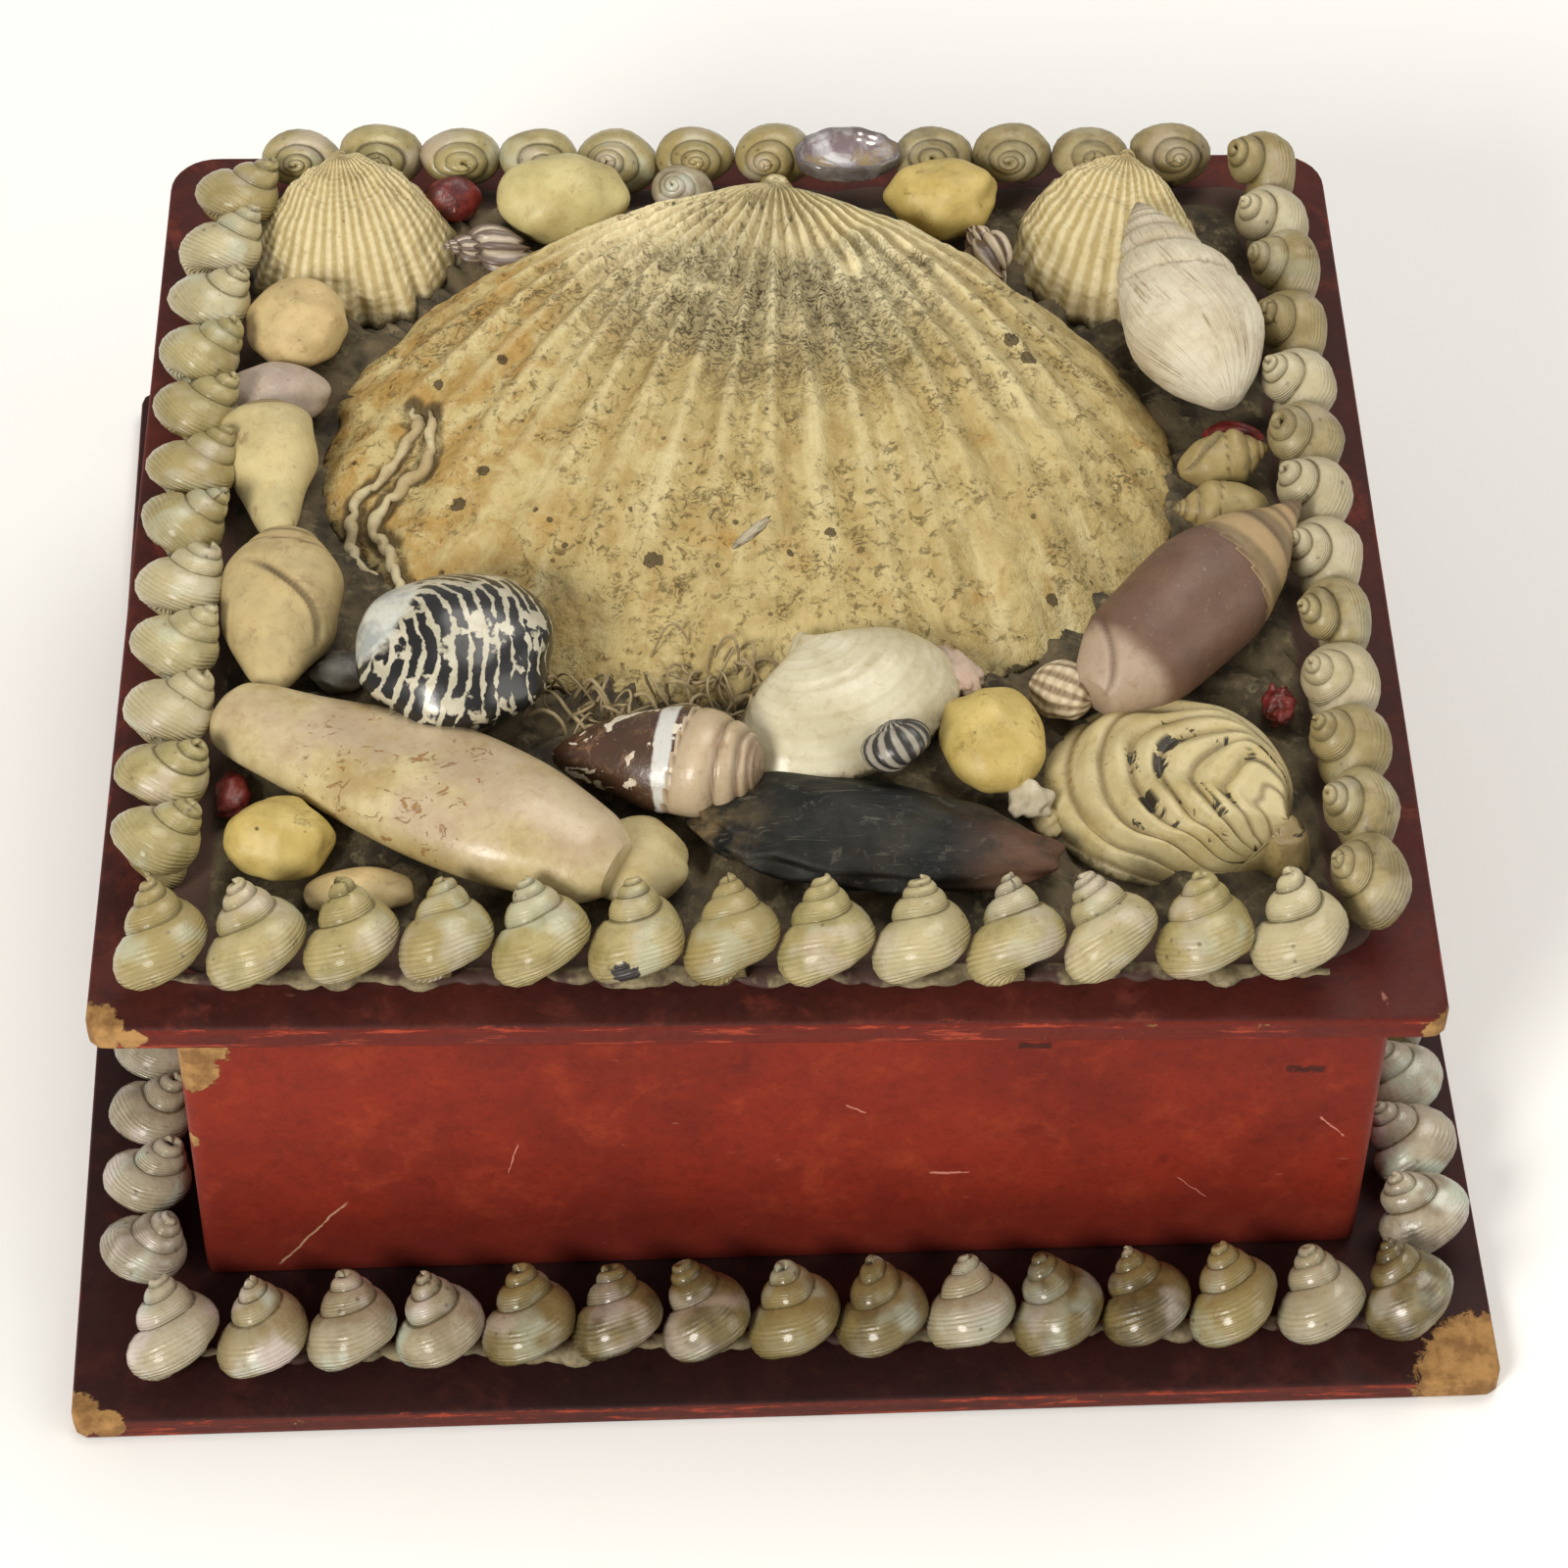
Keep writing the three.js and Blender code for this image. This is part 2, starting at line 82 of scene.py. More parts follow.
def noise_field(points, size, seed, waves=10):
    """Smooth lumps between about -1 and 1, of the given size, at each point."""
    rng = np.random.default_rng(seed)
    total = np.zeros(points.shape[:-1])
    for _ in range(waves):
        direction = rng.normal(size=3)
        direction /= np.linalg.norm(direction)
        frequency = 2 * np.pi / size * rng.uniform(0.6, 1.6)
        total += np.sin(points @ direction * frequency + rng.uniform(0, 2 * np.pi))
    return total / math.sqrt(waves / 2) / 1.5


def smoothstep(low, high, value):
    t = np.clip((value - low) / (high - low), 0, 1)
    return t * t * (3 - 2 * t)


def bell(distance, width):
    """1 at a distance of 0, falling away smoothly over the width."""
    return np.exp(-((distance / width) ** 2))


def circle(count):
    """count angles once round."""
    return np.linspace(0, 2 * np.pi, count, endpoint=False)


def grid(x, y, z):
    """An array of points from their x, y and z, each of which may be a column, a row or a table."""
    return np.stack(np.broadcast_arrays(x, y, z), -1)


def box_corners(node):
    """The lowest and highest corner of a CAD node, as arrays."""
    return tuple(np.array(corner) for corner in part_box(node))


class Form:
    """Rings of points, from pole to pole, with a number at each point for each named attribute."""

    def __init__(self, rings, **attributes):
        self.rings = np.asarray(rings, float)
        self.attributes = {}
        for key, value in attributes.items():
            self.mark(key, value)

    def mark(self, key, value):
        """Gives the points an attribute: one value for all, or one for each ring, side or point."""
        self.attributes[key] = np.broadcast_to(value, self.rings.shape[:2])
        return self

    def low_high(self):
        flat = self.rings.reshape(-1, 3)
        return flat.min(0), flat.max(0)

    def turned(self, matrix):
        self.rings = self.rings @ np.array(matrix, float)[:3, :3].T
        return self

    def moved(self, shift):
        self.rings = self.rings + np.asarray(shift, float)
        return self

    def in_box(self, node):
        """Stretches the form to the CAD node's box."""
        low, high = box_corners(node)
        own_low, own_high = self.low_high()
        self.rings = (self.rings - own_low) / (own_high - own_low) * (high - low) + low
        return self

    def laid_in(self, node):
        """Puts the form in the middle of the node's box, on its floor, at its own size but no taller."""
        low, high = box_corners(node)
        own_low, own_high = self.low_high()
        self.rings = self.rings * (1, 1, min(1, (high[2] - low[2]) / (own_high[2] - own_low[2])))
        own_low, own_high = self.low_high()
        shift = (low + high - own_low - own_high) / 2
        shift[2] = low[2] - own_low[2]
        return self.moved(shift)

    def sized(self, length, width, height):
        """Stretches the form to these sizes in mm, with its middle at the origin."""
        low, high = self.low_high()
        self.rings = (self.rings - (low + high) / 2) / (high - low) * np.array([length, width, height]) * MM
        return self

    def with_foot(self):
        """Marks how far each point stands above the form's lowest one, in mm."""
        return self.mark("foot", (self.rings[..., 2] - self.rings[..., 2].min()) / MM)

    def points(self):
        """The rings' points, then the two poles."""
        return np.vstack([self.rings.reshape(-1, 3), self.rings[0].mean(0), self.rings[-1].mean(0)])

    def values(self, key):
        """An attribute's values in the order of points()."""
        table = self.attributes[key]
        return np.concatenate([table.ravel(), [table[0].mean(), table[-1].mean()]])

    def faces(self):
        """Quads between the rings and a fan of triangles round each pole."""
        rows, sides = self.rings.shape[:2]
        row, side = np.arange(rows - 1)[:, None] * sides, np.arange(sides)
        after = (side + 1) % sides
        corners = (row + side, row + after, row + sides + after, row + sides + side)
        quads = np.stack(corners, -1).reshape(-1, 4).tolist()
        first, last, start = rows * sides, rows * sides + 1, (rows - 1) * sides
        fan = [[first, b, a] for a, b in zip(side.tolist(), after.tolist())]
        end_fan = [[last, start + a, start + b] for a, b in zip(side.tolist(), after.tolist())]
        return quads + fan + end_fan

    def volume(self):
        points, faces = self.points(), self.faces()
        triangles = [face[:3] for face in faces] + [[f[0], f[2], f[3]] for f in faces if len(f) == 4]
        a, b, c = points[np.array(triangles).T]
        return np.einsum("ij,ij->i", a, np.cross(b, c)).sum() / 6


def make_piece(name, forms, material, slot, *replaced):
    """Turns a form, or a list of them, into a piece that stands for the CAD nodes named in replaced."""
    forms = forms if isinstance(forms, list) else [forms]
    points, faces = [], []
    for form in forms:
        own = form.faces()
        if form.volume() < 0:
            own = [face[::-1] for face in own]
        faces += [[corner + len(points) for corner in face] for face in own]
        points += form.points().tolist()
    mesh = bpy.data.meshes.new(name)
    mesh.from_pydata(points, [], faces)
    for key in forms[0].attributes:
        values = np.concatenate([form.values(key) for form in forms])
        mesh.attributes.new(key, "FLOAT", "POINT").data.foreach_set("value", values.astype(np.float32))
    mesh.shade_smooth()
    mesh.materials.append(material)
    piece = bpy.data.objects.new(name, mesh)
    bpy.context.scene.collection.objects.link(piece)
    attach(piece, "root")
    if replaced:
        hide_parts(*replaced)
    return piece


def aim(heading_deg, elevation_deg, roll_deg=0.0):
    """Turns local +Z to the given direction; local +X ends up on the low side, turned on by roll."""
    heading, elevation = math.radians(heading_deg + LID_TURN_DEG), math.radians(elevation_deg)
    level = math.cos(elevation)
    axis = Vector((math.cos(heading) * level, math.sin(heading) * level, math.sin(elevation)))
    down = (axis * axis.z - Vector((0, 0, 1))).normalized()
    down.rotate(Matrix.Rotation(math.radians(roll_deg), 3, axis))
    return Matrix((down, axis.cross(down), axis)).transposed()


def flat_turn(heading_deg):
    """Turns +X to a heading on the lid."""
    return Matrix.Rotation(math.radians(heading_deg + LID_TURN_DEG), 3, "Z")


# ---------------------------------------------------------------- shell forms


def coil(
    turns, growth, reach, drop, wide, tall, steps, sides, shoulder=0.0, ribs=0, rib_depth=0.0, seed=0,
    lumps=0.0, suture_width=0.16,
):
    """A right-handed coiled shell, apex up at the origin: a tube that grows as it winds down.

    reach and drop place the tube's middle at the mouth, and wide and tall are its half sizes there. All four
    are in one free unit.
    """
    theta = np.linspace(0, 2 * np.pi * turns, int(turns * steps) + 1)[:, None]
    phi = circle(sides)[None, :]
    left = theta - theta[-1]
    scale = growth ** (left / (2 * np.pi))
    rib = 1 + rib_depth * np.cos(ribs * theta) * smoothstep(0.02, 0.2, scale)
    mouth = 1 - 0.4 * smoothstep(-1.6, 0, left)
    out = wide * np.cos(phi) * (1 + shoulder * np.sin(phi)) * rib * mouth
    up = tall * np.sin(phi) * rib * mouth
    radius, height = scale * (reach + out), scale * (up - drop)
    rings = grid(radius * np.cos(left), -radius * np.sin(left), height)
    # how near each point lies to the tube of the turn before
    before = scale / growth
    off = ((radius / before - reach) / wide) ** 2 + ((height / before + drop) / tall) ** 2 - 1
    suture = np.exp(-np.clip(off, 0, None) / suture_width) * smoothstep(1.2, 2.6, scale / scale[0])
    size = np.abs(rings).max()
    if lumps:
        swell = lumps * size * noise_field(rings / size, 0.7, seed)[..., None]
        rings = rings + swell * rings / (np.abs(rings) + 1e-6)
    phi = np.where(phi > np.pi, phi - 2 * np.pi, phi)
    return Form(rings, suture=suture, theta=left, phi=phi, spire=scale)


def whorled(
    profile, growth, groove, last, seed, lumps, rows=90, sides=64, bulge=0.0, lean=0.0, fold=None, ribs=0,
    rib_depth=0.0, rib_slant=0.0,
):
    """A smooth spindle-shaped shell, apex at z = 1 and tip at z = 0, with a spiral groove round its spire.

    profile lists (share of the length from the apex, radius). The groove ends at the share last. fold is the
    edge of the lip: (share, turn) of its two ends and its depth.
    """
    down = ((1 - np.cos(np.linspace(0.02, np.pi - 0.02, rows))) / 2)[:, None]
    theta = circle(sides)[None, :]
    phase = np.log(np.maximum(down, 1e-3) / last) / math.log(growth) + theta / (2 * np.pi)
    whorl = phase - np.floor(phase)
    on_spire = (phase < 1.0).astype(float)
    near = np.minimum(whorl, 1 - whorl) * np.maximum(down, 0.02) * math.log(growth)
    suture = bell(near, 0.012) * on_spire
    shares, radii = (np.array(column, float) for column in zip(*profile))
    radius = smooth_between(shares, radii, down)
    radius = radius * (1 - groove * suture + bulge * (np.sin(np.pi * whorl) - 0.6) * on_spire)
    radius = radius * (1 + rib_depth * np.cos(ribs * (theta + rib_slant * down)))
    crease = 0.0
    if fold:
        start, start_turn, end, end_turn, depth = fold
        off = theta - start_turn - (end_turn - start_turn) * (down - start) / (end - start)
        off = (off + np.pi) % (2 * np.pi) - np.pi
        ends = smoothstep(start - 0.04, start + 0.05, down) * smoothstep(end + 0.04, end - 0.05, down)
        crease = bell(off, 0.11) * ends
        radius = radius * (1 + depth * (0.5 * bell(off - 0.22, 0.14) * ends - crease))
    rings = grid(radius * np.cos(theta), -radius * np.sin(theta), 1 - down)
    rings = rings + lumps * noise_field(rings, 0.5, seed)[..., None] * rings * (1, 1, 0)
    rings[..., 0] += lean * (down - 0.5) ** 2
    return Form(rings, suture=suture, down=down, turn=theta, whorl=whorl * on_spire, crease=crease)


def smooth_between(xs, ys, at):
    """A smooth curve through a few points (monotone cubic)."""
    slopes = np.diff(ys) / np.diff(xs)
    before, after = slopes[:-1], slopes[1:]
    inner = np.where(before * after > 0, 2 * before * after / (before + after + 1e-12), 0)
    tangents = np.concatenate([[slopes[0] * 1.5], inner, [slopes[-1] * 1.5]])
    k = np.clip(np.searchsorted(xs, at) - 1, 0, len(xs) - 2)
    width = xs[k + 1] - xs[k]
    t = np.clip((at - xs[k]) / width, 0, 1)
    return (
        (2 * t**3 - 3 * t**2 + 1) * ys[k] + (t**3 - 2 * t**2 + t) * width * tangents[k]
        + (3 * t**2 - 2 * t**3) * ys[k + 1] + (t**3 - t**2) * width * tangents[k + 1]
    )


def valve_outline(length, width, half_share, beak, columns):
    """Once round a valve, from its umbo: the direction, share across, place in the fan or not, and reach."""
    along_half, across_half = half_share * length, width / 2
    middle = length - along_half
    fan = math.atan(across_half / math.sqrt(middle**2 - along_half**2))
    front = np.linspace(-1, 1, columns)
    back = np.linspace(0, 1, max(6, columns // 6) + 2)[1:-1]
    turn = np.concatenate([fan * front, fan + (2 * np.pi - 2 * fan) * back])
    across = np.concatenate([front, 1 - 2 * back])
    in_fan = np.concatenate([np.ones(columns), np.zeros(len(back))])
    a = (np.cos(turn) / along_half) ** 2 + (np.sin(turn) / across_half) ** 2
    b = middle * np.cos(turn) / along_half**2
    root = np.sqrt(np.clip(b * b - a * ((middle / along_half) ** 2 - 1), 0, None))
    return turn, across, in_fan, np.maximum(in_fan * (b + root) / a, beak * length)


def valve(
    length, width, height, half_share, umbo_lift, beak, crown, columns, rows, seed, ribs=0, rib_depth=0.0,
    rib_fade=1.0, ridges=0, ridge_depth=0.0, lumps=0.0, lump_size=0.2, frill=0.0, grit=0.0,
    frill_to=(0.0, -0.7), broad=0.0, wander=1.0,
):
    """One valve, hollow side down, umbo at the origin, opening along +X. Lengths in mm.

    The outline is an ellipse drawn in to the umbo by its tangents. Ribs radiate, ridges ring the umbo. The
    margin is ragged by frill on the side that frill_to picks (from none to all of it, by share across).
    """
    turn, across, in_fan, edge = valve_outline(length, width, half_share, beak, columns)
    share = (np.linspace(0.004, 1, rows) ** 0.8)[:, None]
    rise = umbo_lift + (1 - umbo_lift) * np.sin(np.pi / 2 * np.minimum(share / crown, 1))
    fall = np.cos(np.pi / 2 * np.clip((share - crown) / (1 - crown), 0, 1)) ** 0.8
    side = np.cos(np.pi / 2 * across**2 * 0.95) ** 0.62
    back_drop = umbo_lift * np.sqrt(np.clip(1 - share**2, 0, 1)) * height
    up = np.where(in_fan > 0, np.where(share < crown, rise, fall) * side * height, back_drop)
    # the hinge line joins the domed part and the back smoothly
    up = np.where(in_fan > 0, np.maximum(up, back_drop * (1 - smoothstep(0, 0.12, share))), up)
    rib = (1 - 2 * np.abs(np.sin(ribs * np.pi * (across + 1) / 2)) ** 1.5) * in_fan
    fade = 1 - (1 - rib_fade) * smoothstep(0.3, 0.75, share)
    relief = rib_depth * rib * smoothstep(0, 0.12, share) * fade
    sway = 0.35 * np.sin(3 * turn + seed) * share + 0.07 * np.sin(9 * turn + 7 * share)
    ring = 1 - np.abs((((ridges * share + wander * sway) % 1) - 0.5) * 2) ** 1.6
    relief = relief + ridge_depth * (ring - 0.5) * smoothstep(0.05, 0.2, share)
    relief = relief * np.clip(np.cos(np.pi / 2 * share) ** 0.5 + 0.35, 0, 1) * in_fan
    rings = grid(edge * share * np.cos(turn), edge * share * np.sin(turn), up + relief)
    rings[..., 1] *= 1 + broad * np.clip(1 - rings[..., 0] / length, 0, 1) ** 2
    rings[..., 2] += lumps * noise_field(rings / length, lump_size, seed) * smoothstep(1, 0.8, share)
    rough = noise_field(rings / length, 0.045, seed + 1)
    rough += 0.8 * noise_field(rings / length, 0.02, seed + 3, 16)
    rings[..., 2] += grit * rough * smoothstep(0.1, 0.3, share) * smoothstep(1, 0.9, share)
    ragged = frill * noise_field(rings * (1, 1, 0) / length, 0.13, seed + 2)
    rings[..., :2] *= (1 + ragged * smoothstep(0.75, 1, share) * smoothstep(*frill_to, across))[..., None]
    rings[..., 2] = np.maximum(rings[..., 2], 0)
    under = rings[-1:] * (0.9, 0.9, 0)
    return Form(
        np.concatenate([rings, under]) * MM,
        share=np.append(share, 0.9)[:, None],
        across=across,
        rib=rib,
        ring=np.concatenate([ring * in_fan, ring[-1:]]),
    )


def egg(stretch=0.0, rows=36, sides=48, seed=1, lumps=0.04, lump_size=0.9, ridges=0, ridge_depth=0.0):
    """An egg on its side along +X, fatter towards +X by stretch, with soft lumps."""
    polar = np.linspace(0.03, np.pi - 0.03, rows)[:, None]
    turn = circle(sides)[None, :]
    along, rib = -np.cos(polar), np.cos(ridges * turn)
    radius = np.sin(polar) * (1 + stretch * along) * (1 + ridge_depth * rib)
    rings = grid(along, radius * np.cos(turn), radius * np.sin(turn))
    rings *= (1 + lumps * noise_field(rings, lump_size, seed))[..., None]
    return Form(rings, along=along, turn=turn, rib=rib)


def dish(rows=14, sides=64, depth=0.55, rim=0.09, inner_edge=0.93):
    """A shallow open bowl, hollow side up, with an uneven rim."""
    turn = circle(sides)
    wobble = 1 + 0.05 * np.sin(3 * turn + 3) + 0.025 * np.sin(11 * turn)
    outer = np.linspace(0.05, 1, rows)
    inner = np.linspace(inner_edge, 0.05, rows)
    under = -depth * np.sqrt(1 - outer**2)
    over = rim - (depth - 0.12) * np.sqrt(1 - (inner / inner_edge) ** 2)
    radial = np.concatenate([outer, [0.985], inner])[:, None]
    height = np.concatenate([under, [rim], over])[:, None]
    return Form(grid(radial * wobble * np.cos(turn), radial * wobble * np.sin(turn), height), radial=radial)


def tube(path, radius, sides):
    """A thin closed tube along a list of points, tapering at its ends."""
    path = np.asarray(path, float)
    tangent = np.gradient(path, axis=0)
    tangent /= np.linalg.norm(tangent, axis=1)[:, None] + 1e-12
    side = np.cross(tangent, (0, 0, 1.0))
    side /= np.linalg.norm(side, axis=1)[:, None] + 1e-12
    up = np.cross(side, tangent)
    turn = circle(sides)[:, None]
    share = np.linspace(0, 1, len(path))
    size = radius * np.minimum(1, 0.3 + 6 * np.minimum(share, 1 - share))
    around = side[:, None] * np.cos(turn) + up[:, None] * np.sin(turn)
    return Form(path[:, None] + size[:, None, None] * around)


# ---------------------------------------------------------------- boards


def outline(width, depth, radii, count):
    """count points round a rectangle with rounded corners; radii start at the front left, anticlockwise."""
    corners = [(-1, -1, 180), (1, -1, 270), (1, 1, 0), (-1, 1, 90)]
    points = []
    for (side_x, side_y, start), radius in zip(corners, radii):
        x, y = side_x * (width / 2 - radius), side_y * (depth / 2 - radius)
        for angle in np.radians(start + np.linspace(0, 90, 9)):
            points.append((x + radius * np.cos(angle), y + radius * np.sin(angle)))
    loop = np.array(points + points[:1])
    run = np.concatenate([[0], np.cumsum(np.linalg.norm(np.diff(loop, axis=0), axis=1))])
    at = np.linspace(0, run[-1], count, endpoint=False)
    return np.stack([np.interp(at, run, loop[:, k]) for k in (0, 1)], -1)


def board_size(node, turn_deg=0.0):
    """Width, depth, underside and top of a board's node, turned as the lid is."""
    low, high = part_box(node)
    turn = abs(math.radians(turn_deg))
    spread, span = high.x - low.x, high.y - low.y
    width = (spread * math.cos(turn) - span * math.sin(turn)) / math.cos(2 * turn)
    depth = (span * math.cos(turn) - spread * math.sin(turn)) / math.cos(2 * turn)
    return width, depth, low.z, high.z


def sheet_rings(width, depth, radii, levels, count, wave=0.0):
    """Rings of a board and how near each is to an edge.

    levels lists (inset from the edge, height, edge share), from the middle of the top to the underside's.
    """
    rings = []
    for inset, height, _ in levels:
        shrunk = [max(radius - inset, 0.3 * MM) for radius in radii]
        loop = outline(width - 2 * inset, depth - 2 * inset, shrunk, count)
        rings.append(np.column_stack([loop, np.full(count, height)]))
    rings = np.array(rings)
    rings[..., 2] += wave * noise_field(rings * (1, 1, 0), 0.07, 11)
    return rings, np.array([edge for _, _, edge in levels])[:, None]


def board_levels(bottom, top, bevel):
    """Levels of a plain board with softly rounded edges."""
    levels = [(inset * MM, top, 0.0) for inset in (30, 14, 8, 4.5, 2.4)]
    curve = [(bevel * (1 - math.sin(angle)), bevel * (1 - math.cos(angle)), 0.5 + angle / math.pi)
             for angle in np.linspace(0, math.pi / 2, 5)]
    levels += [(inset, top - drop, edge) for inset, drop, edge in curve]
    side = top - bottom - 2 * bevel
    levels += [(0, top - bevel - side * share, 0.8) for share in (0.25, 0.5, 0.75)]
    levels += [(inset, bottom + rise, edge) for inset, rise, edge in curve[::-1]]
    return levels + [(4 * MM, bottom, 0.0), (30 * MM, bottom, 0.0)]


def middle_of(node):
    low, high = box_corners(node)
    return (low + high) / 2 * (1, 1, 0)


# ---------------------------------------------------------------- materials


class Value:
    """What a node of a paint works out; sums with it add nodes."""

    def __init__(self, paint, socket):
        self.paint, self.socket = paint, socket

    def __add__(self, other):
        return self.paint.math("ADD", self, other)

    def __sub__(self, other):
        return self.paint.math("SUBTRACT", self, other)

    def __rsub__(self, other):
        return self.paint.math("SUBTRACT", other, self)

    def __mul__(self, other):
        return self.paint.math("MULTIPLY", self, other)

    def __pow__(self, other):
        return self.paint.math("POWER", self, other)

    def __abs__(self):
        return self.paint.math("ABSOLUTE", self)

    __radd__, __rmul__ = __add__, __mul__


class Paint:
    """A short way to write a node material: a colour with tones laid over it, each where its share says."""

    def __init__(self, name):
        self.material = bpy.data.materials.new(name)
        self.material.use_nodes = True
        self.tree = self.material.node_tree
        self.place = self.node("TexCoord", "Object", {})
        self.colour = None

    def node(self, kind, output, inputs, **settings):
        """The named or numbered output of a new node."""
        node = self.tree.nodes.new("ShaderNode" + kind)
        for name, value in settings.items():
            setattr(node, name, value)
        for name, value in inputs.items():
            self.set(node.inputs[name], value)
        return Value(self, node.outputs[output])

    def set(self, socket, value):
        if isinstance(value, Value):
            self.tree.links.new(value.socket, socket)
        elif socket.type == "RGBA":
            socket.default_value = (*value, 1)
        else:
            socket.default_value = value

    def value(self, name):
        """The form's attribute of that name."""
        return self.node("Attribute", "Fac", {}, attribute_name=name)

    def axis(self, letter):
        return self.node("SeparateXYZ", letter, {0: self.place})

    def math(self, operation, a, b=0.0):
        return self.node("Math", 0, {0: a, 1: b}, operation=operation)

    def most(self, a, b):
        return self.math("MAXIMUM", a, b)

    def between(self, value, low, high):
        """0 below low, 1 above high, smooth between."""
        inputs = {"Value": value, "From Min": low, "From Max": high}
        return self.node("MapRange", 0, inputs, interpolation_type="SMOOTHSTEP")

    def mix(self, share, a, b, blend="MIX"):
        return self.node("Mix", 2, {0: share, 6: a, 7: b}, data_type="RGBA", blend_type=blend)

    def lay(self, tone, share, blend="MIX"):
        """Covers the colour with a tone where share is 1."""
        self.colour = self.mix(share, self.colour, tone, blend)

    def stretched(self, x, y, z, turn=(0, 0, 0)):
        return self.node("Mapping", 0, {"Vector": self.place, "Scale": (x, y, z), "Rotation": turn})

    def joined(self, x, y):
        return self.node("CombineXYZ", 0, {0: x, 1: y})

    def noise(self, scale, detail, rough, where=None, bend=0.0):
        inputs = {"Scale": scale, "Detail": detail, "Roughness": rough, "Distortion": bend}
        return self.node("TexNoise", "Fac", {"Vector": where or self.place, **inputs})

    def blots(self, scale, detail, rough, low, high, bend=0.0):
        """Cloudy blots: 0 where the noise is below low, 1 where it is above high."""
        return self.between(self.noise(scale, detail, rough, bend=bend), low, high)

    def spots(self, scale, low, high):
        """Round spots: 1 where the nearest of many scattered points is nearer than high, 0 beyond low."""
        distance = self.node("TexVoronoi", "Distance", {"Vector": self.place, "Scale": scale})
        return self.between(distance, low, high)

    def foot_shade_and_stains(self, reach):
        """Painted shade at the foot of a shell, up to reach mm, and stains a little above it."""
        foot = self.value("foot") + 5.0 * (self.noise(330, 5, 0.7) - 0.5)
        # painted shade: brown, growing towards the foot from 2.4 reach mm up
        self.lay((0.20, 0.14, 0.05), 0.35 * self.between(foot, 2.4 * reach, 0.6 * reach))
        fleck = self.blots(620, 6, 0.75, 0.50, 0.70, bend=0.5)
        self.lay((0.60, 0.50, 0.34), 0.38 * fleck, "MULTIPLY")
        soft = self.blots(95, 5, 0.7, 0.42, 0.66)
        self.lay((0.72, 0.62, 0.44), 0.30 * soft, "MULTIPLY")
        # painted shade: near-black within reach mm of the foot
        self.lay((0.045, 0.034, 0.016), 0.85 * self.between(foot, reach, 0.2))

    def patch(self, centre, reach, ragged=0.9, scale=330):
        """1 within about reach mm of a point in metres, out to a ragged edge."""
        away = self.node("VectorMath", "Value", {0: self.place, 1: centre}, operation="DISTANCE")
        away += ragged * reach * MM * (self.noise(scale, 5, 0.75, bend=1.0) - 0.5)
        return self.between(away, reach * MM, 0.92 * reach * MM)

    def stroke(self, start, end, width):
        """1 on a thin line between two points (x, z) in metres, on the front half; its width is in mm."""
        (x0, z0), (x1, z1) = start, end
        length = math.hypot(x1 - x0, z1 - z0)
        across, up = (x1 - x0) / length, (z1 - z0) / length
        dx, dz = self.axis("X") - x0, self.axis("Z") - z0
        run = across * dx + up * dz
        off = abs(across * dz - up * dx + 2.0 * MM * (self.noise(160, 3, 0.6) - 0.5))
        on = self.between(run, 0, 0.1 * length) * self.between(run, length, 0.9 * length)
        on *= self.between(self.axis("Y"), 0, -0.01)
        thin = width * MM * self.blots(500, 3, 0.6, 0.25, 0.45)
        return on * self.between(off, thin, 0.4 * thin)

    def finish(self, rough, height, depth_mm, strength, coat=(0.0, 0.03), specular=0.5):
        """The material, given its roughness, bump, shine and clear coat (weight and roughness)."""
        bump = self.node("Bump", 0, {"Height": height, "Strength": strength, "Distance": depth_mm * MM})
        inputs = {
            "Base Color": self.colour,
            "Roughness": rough,
            "Specular IOR Level": specular,
            "Coat Weight": coat[0],
            "Coat Roughness": coat[1],
            "Normal": bump,
        }
        for name, value in inputs.items():
            self.set(self.tree.nodes["Principled BSDF"].inputs[name], value)
        return self.material


def scaled(colour, factor):
    return tuple(factor * channel for channel in colour)


def paint_top_shell(name, clean, shade, pearl, gloss=0.22, coat=0.22, hole=None):
    """Greenish cream nacre: olive and painted shade in the sutures, spiral lines, painted pearly sheen, and
    perhaps a hole painted as shade.
    """
    p = Paint(name)
    tint, suture, phi = p.value("tint"), p.value("suture"), p.value("phi")
    blotch = p.noise(220, 5, 0.6)
    p.colour = p.mix(p.between(blotch, 0.35, 0.68), clean, shade)
    p.lay((0.32, 0.25, 0.10), 0.8 * p.between(tint, 0.35, 1.0))
    p.lay((0.60, 0.54, 0.38), 0.5 * p.between(tint, 0.12, 0.0))
    # pale mint and pink patches: painted pearly sheen of the nacre
    sheen_hue = p.mix(p.blots(90, 1, 0.5, 0.42, 0.6), (0.50, 0.56, 0.46), (0.60, 0.51, 0.47))
    p.lay(sheen_hue, pearl * p.blots(130, 2, 0.5, 0.5, 0.66))
    worn = p.between(p.value("spire") + 0.2 * blotch, 0.3, 0.12)
    p.lay((0.52, 0.45, 0.30), 0.55 * worn)
    lines = p.math("SINE", 34.0 * phi) * p.between(phi, 0.9, -0.4)
    p.lay((0.17, 0.135, 0.055), 0.2 * p.between(lines, 0.2, 1.0))
    dirt = p.between(suture, 0.06, 0.5) * p.between(blotch, 0.22, 0.5)
    p.lay((0.105, 0.080, 0.030), 0.85 * dirt)
    # painted shade: near-black deep in the sutures
    p.lay((0.040, 0.028, 0.012), 0.9 * p.between(suture, 0.55, 0.95))
    p.lay((0.10, 0.07, 0.03), 0.7 * (p.spots(420, 0.2, 0.08) * p.between(blotch, 0.47, 0.58)))
    p.foot_shade_and_stains(2.0)
    # a hole is painted as a near-black patch: the shade inside it
    if hole:
        p.lay((0.010, 0.005, 0.003), p.patch(hole, 1.9, 1.6, 500))
    height = 0.5 * lines + 0.6 * p.noise(1400, 3, 0.6)
    return p.finish(gloss + 0.28 * blotch, height, 0.18, 0.9, coat=(coat, 0.14))


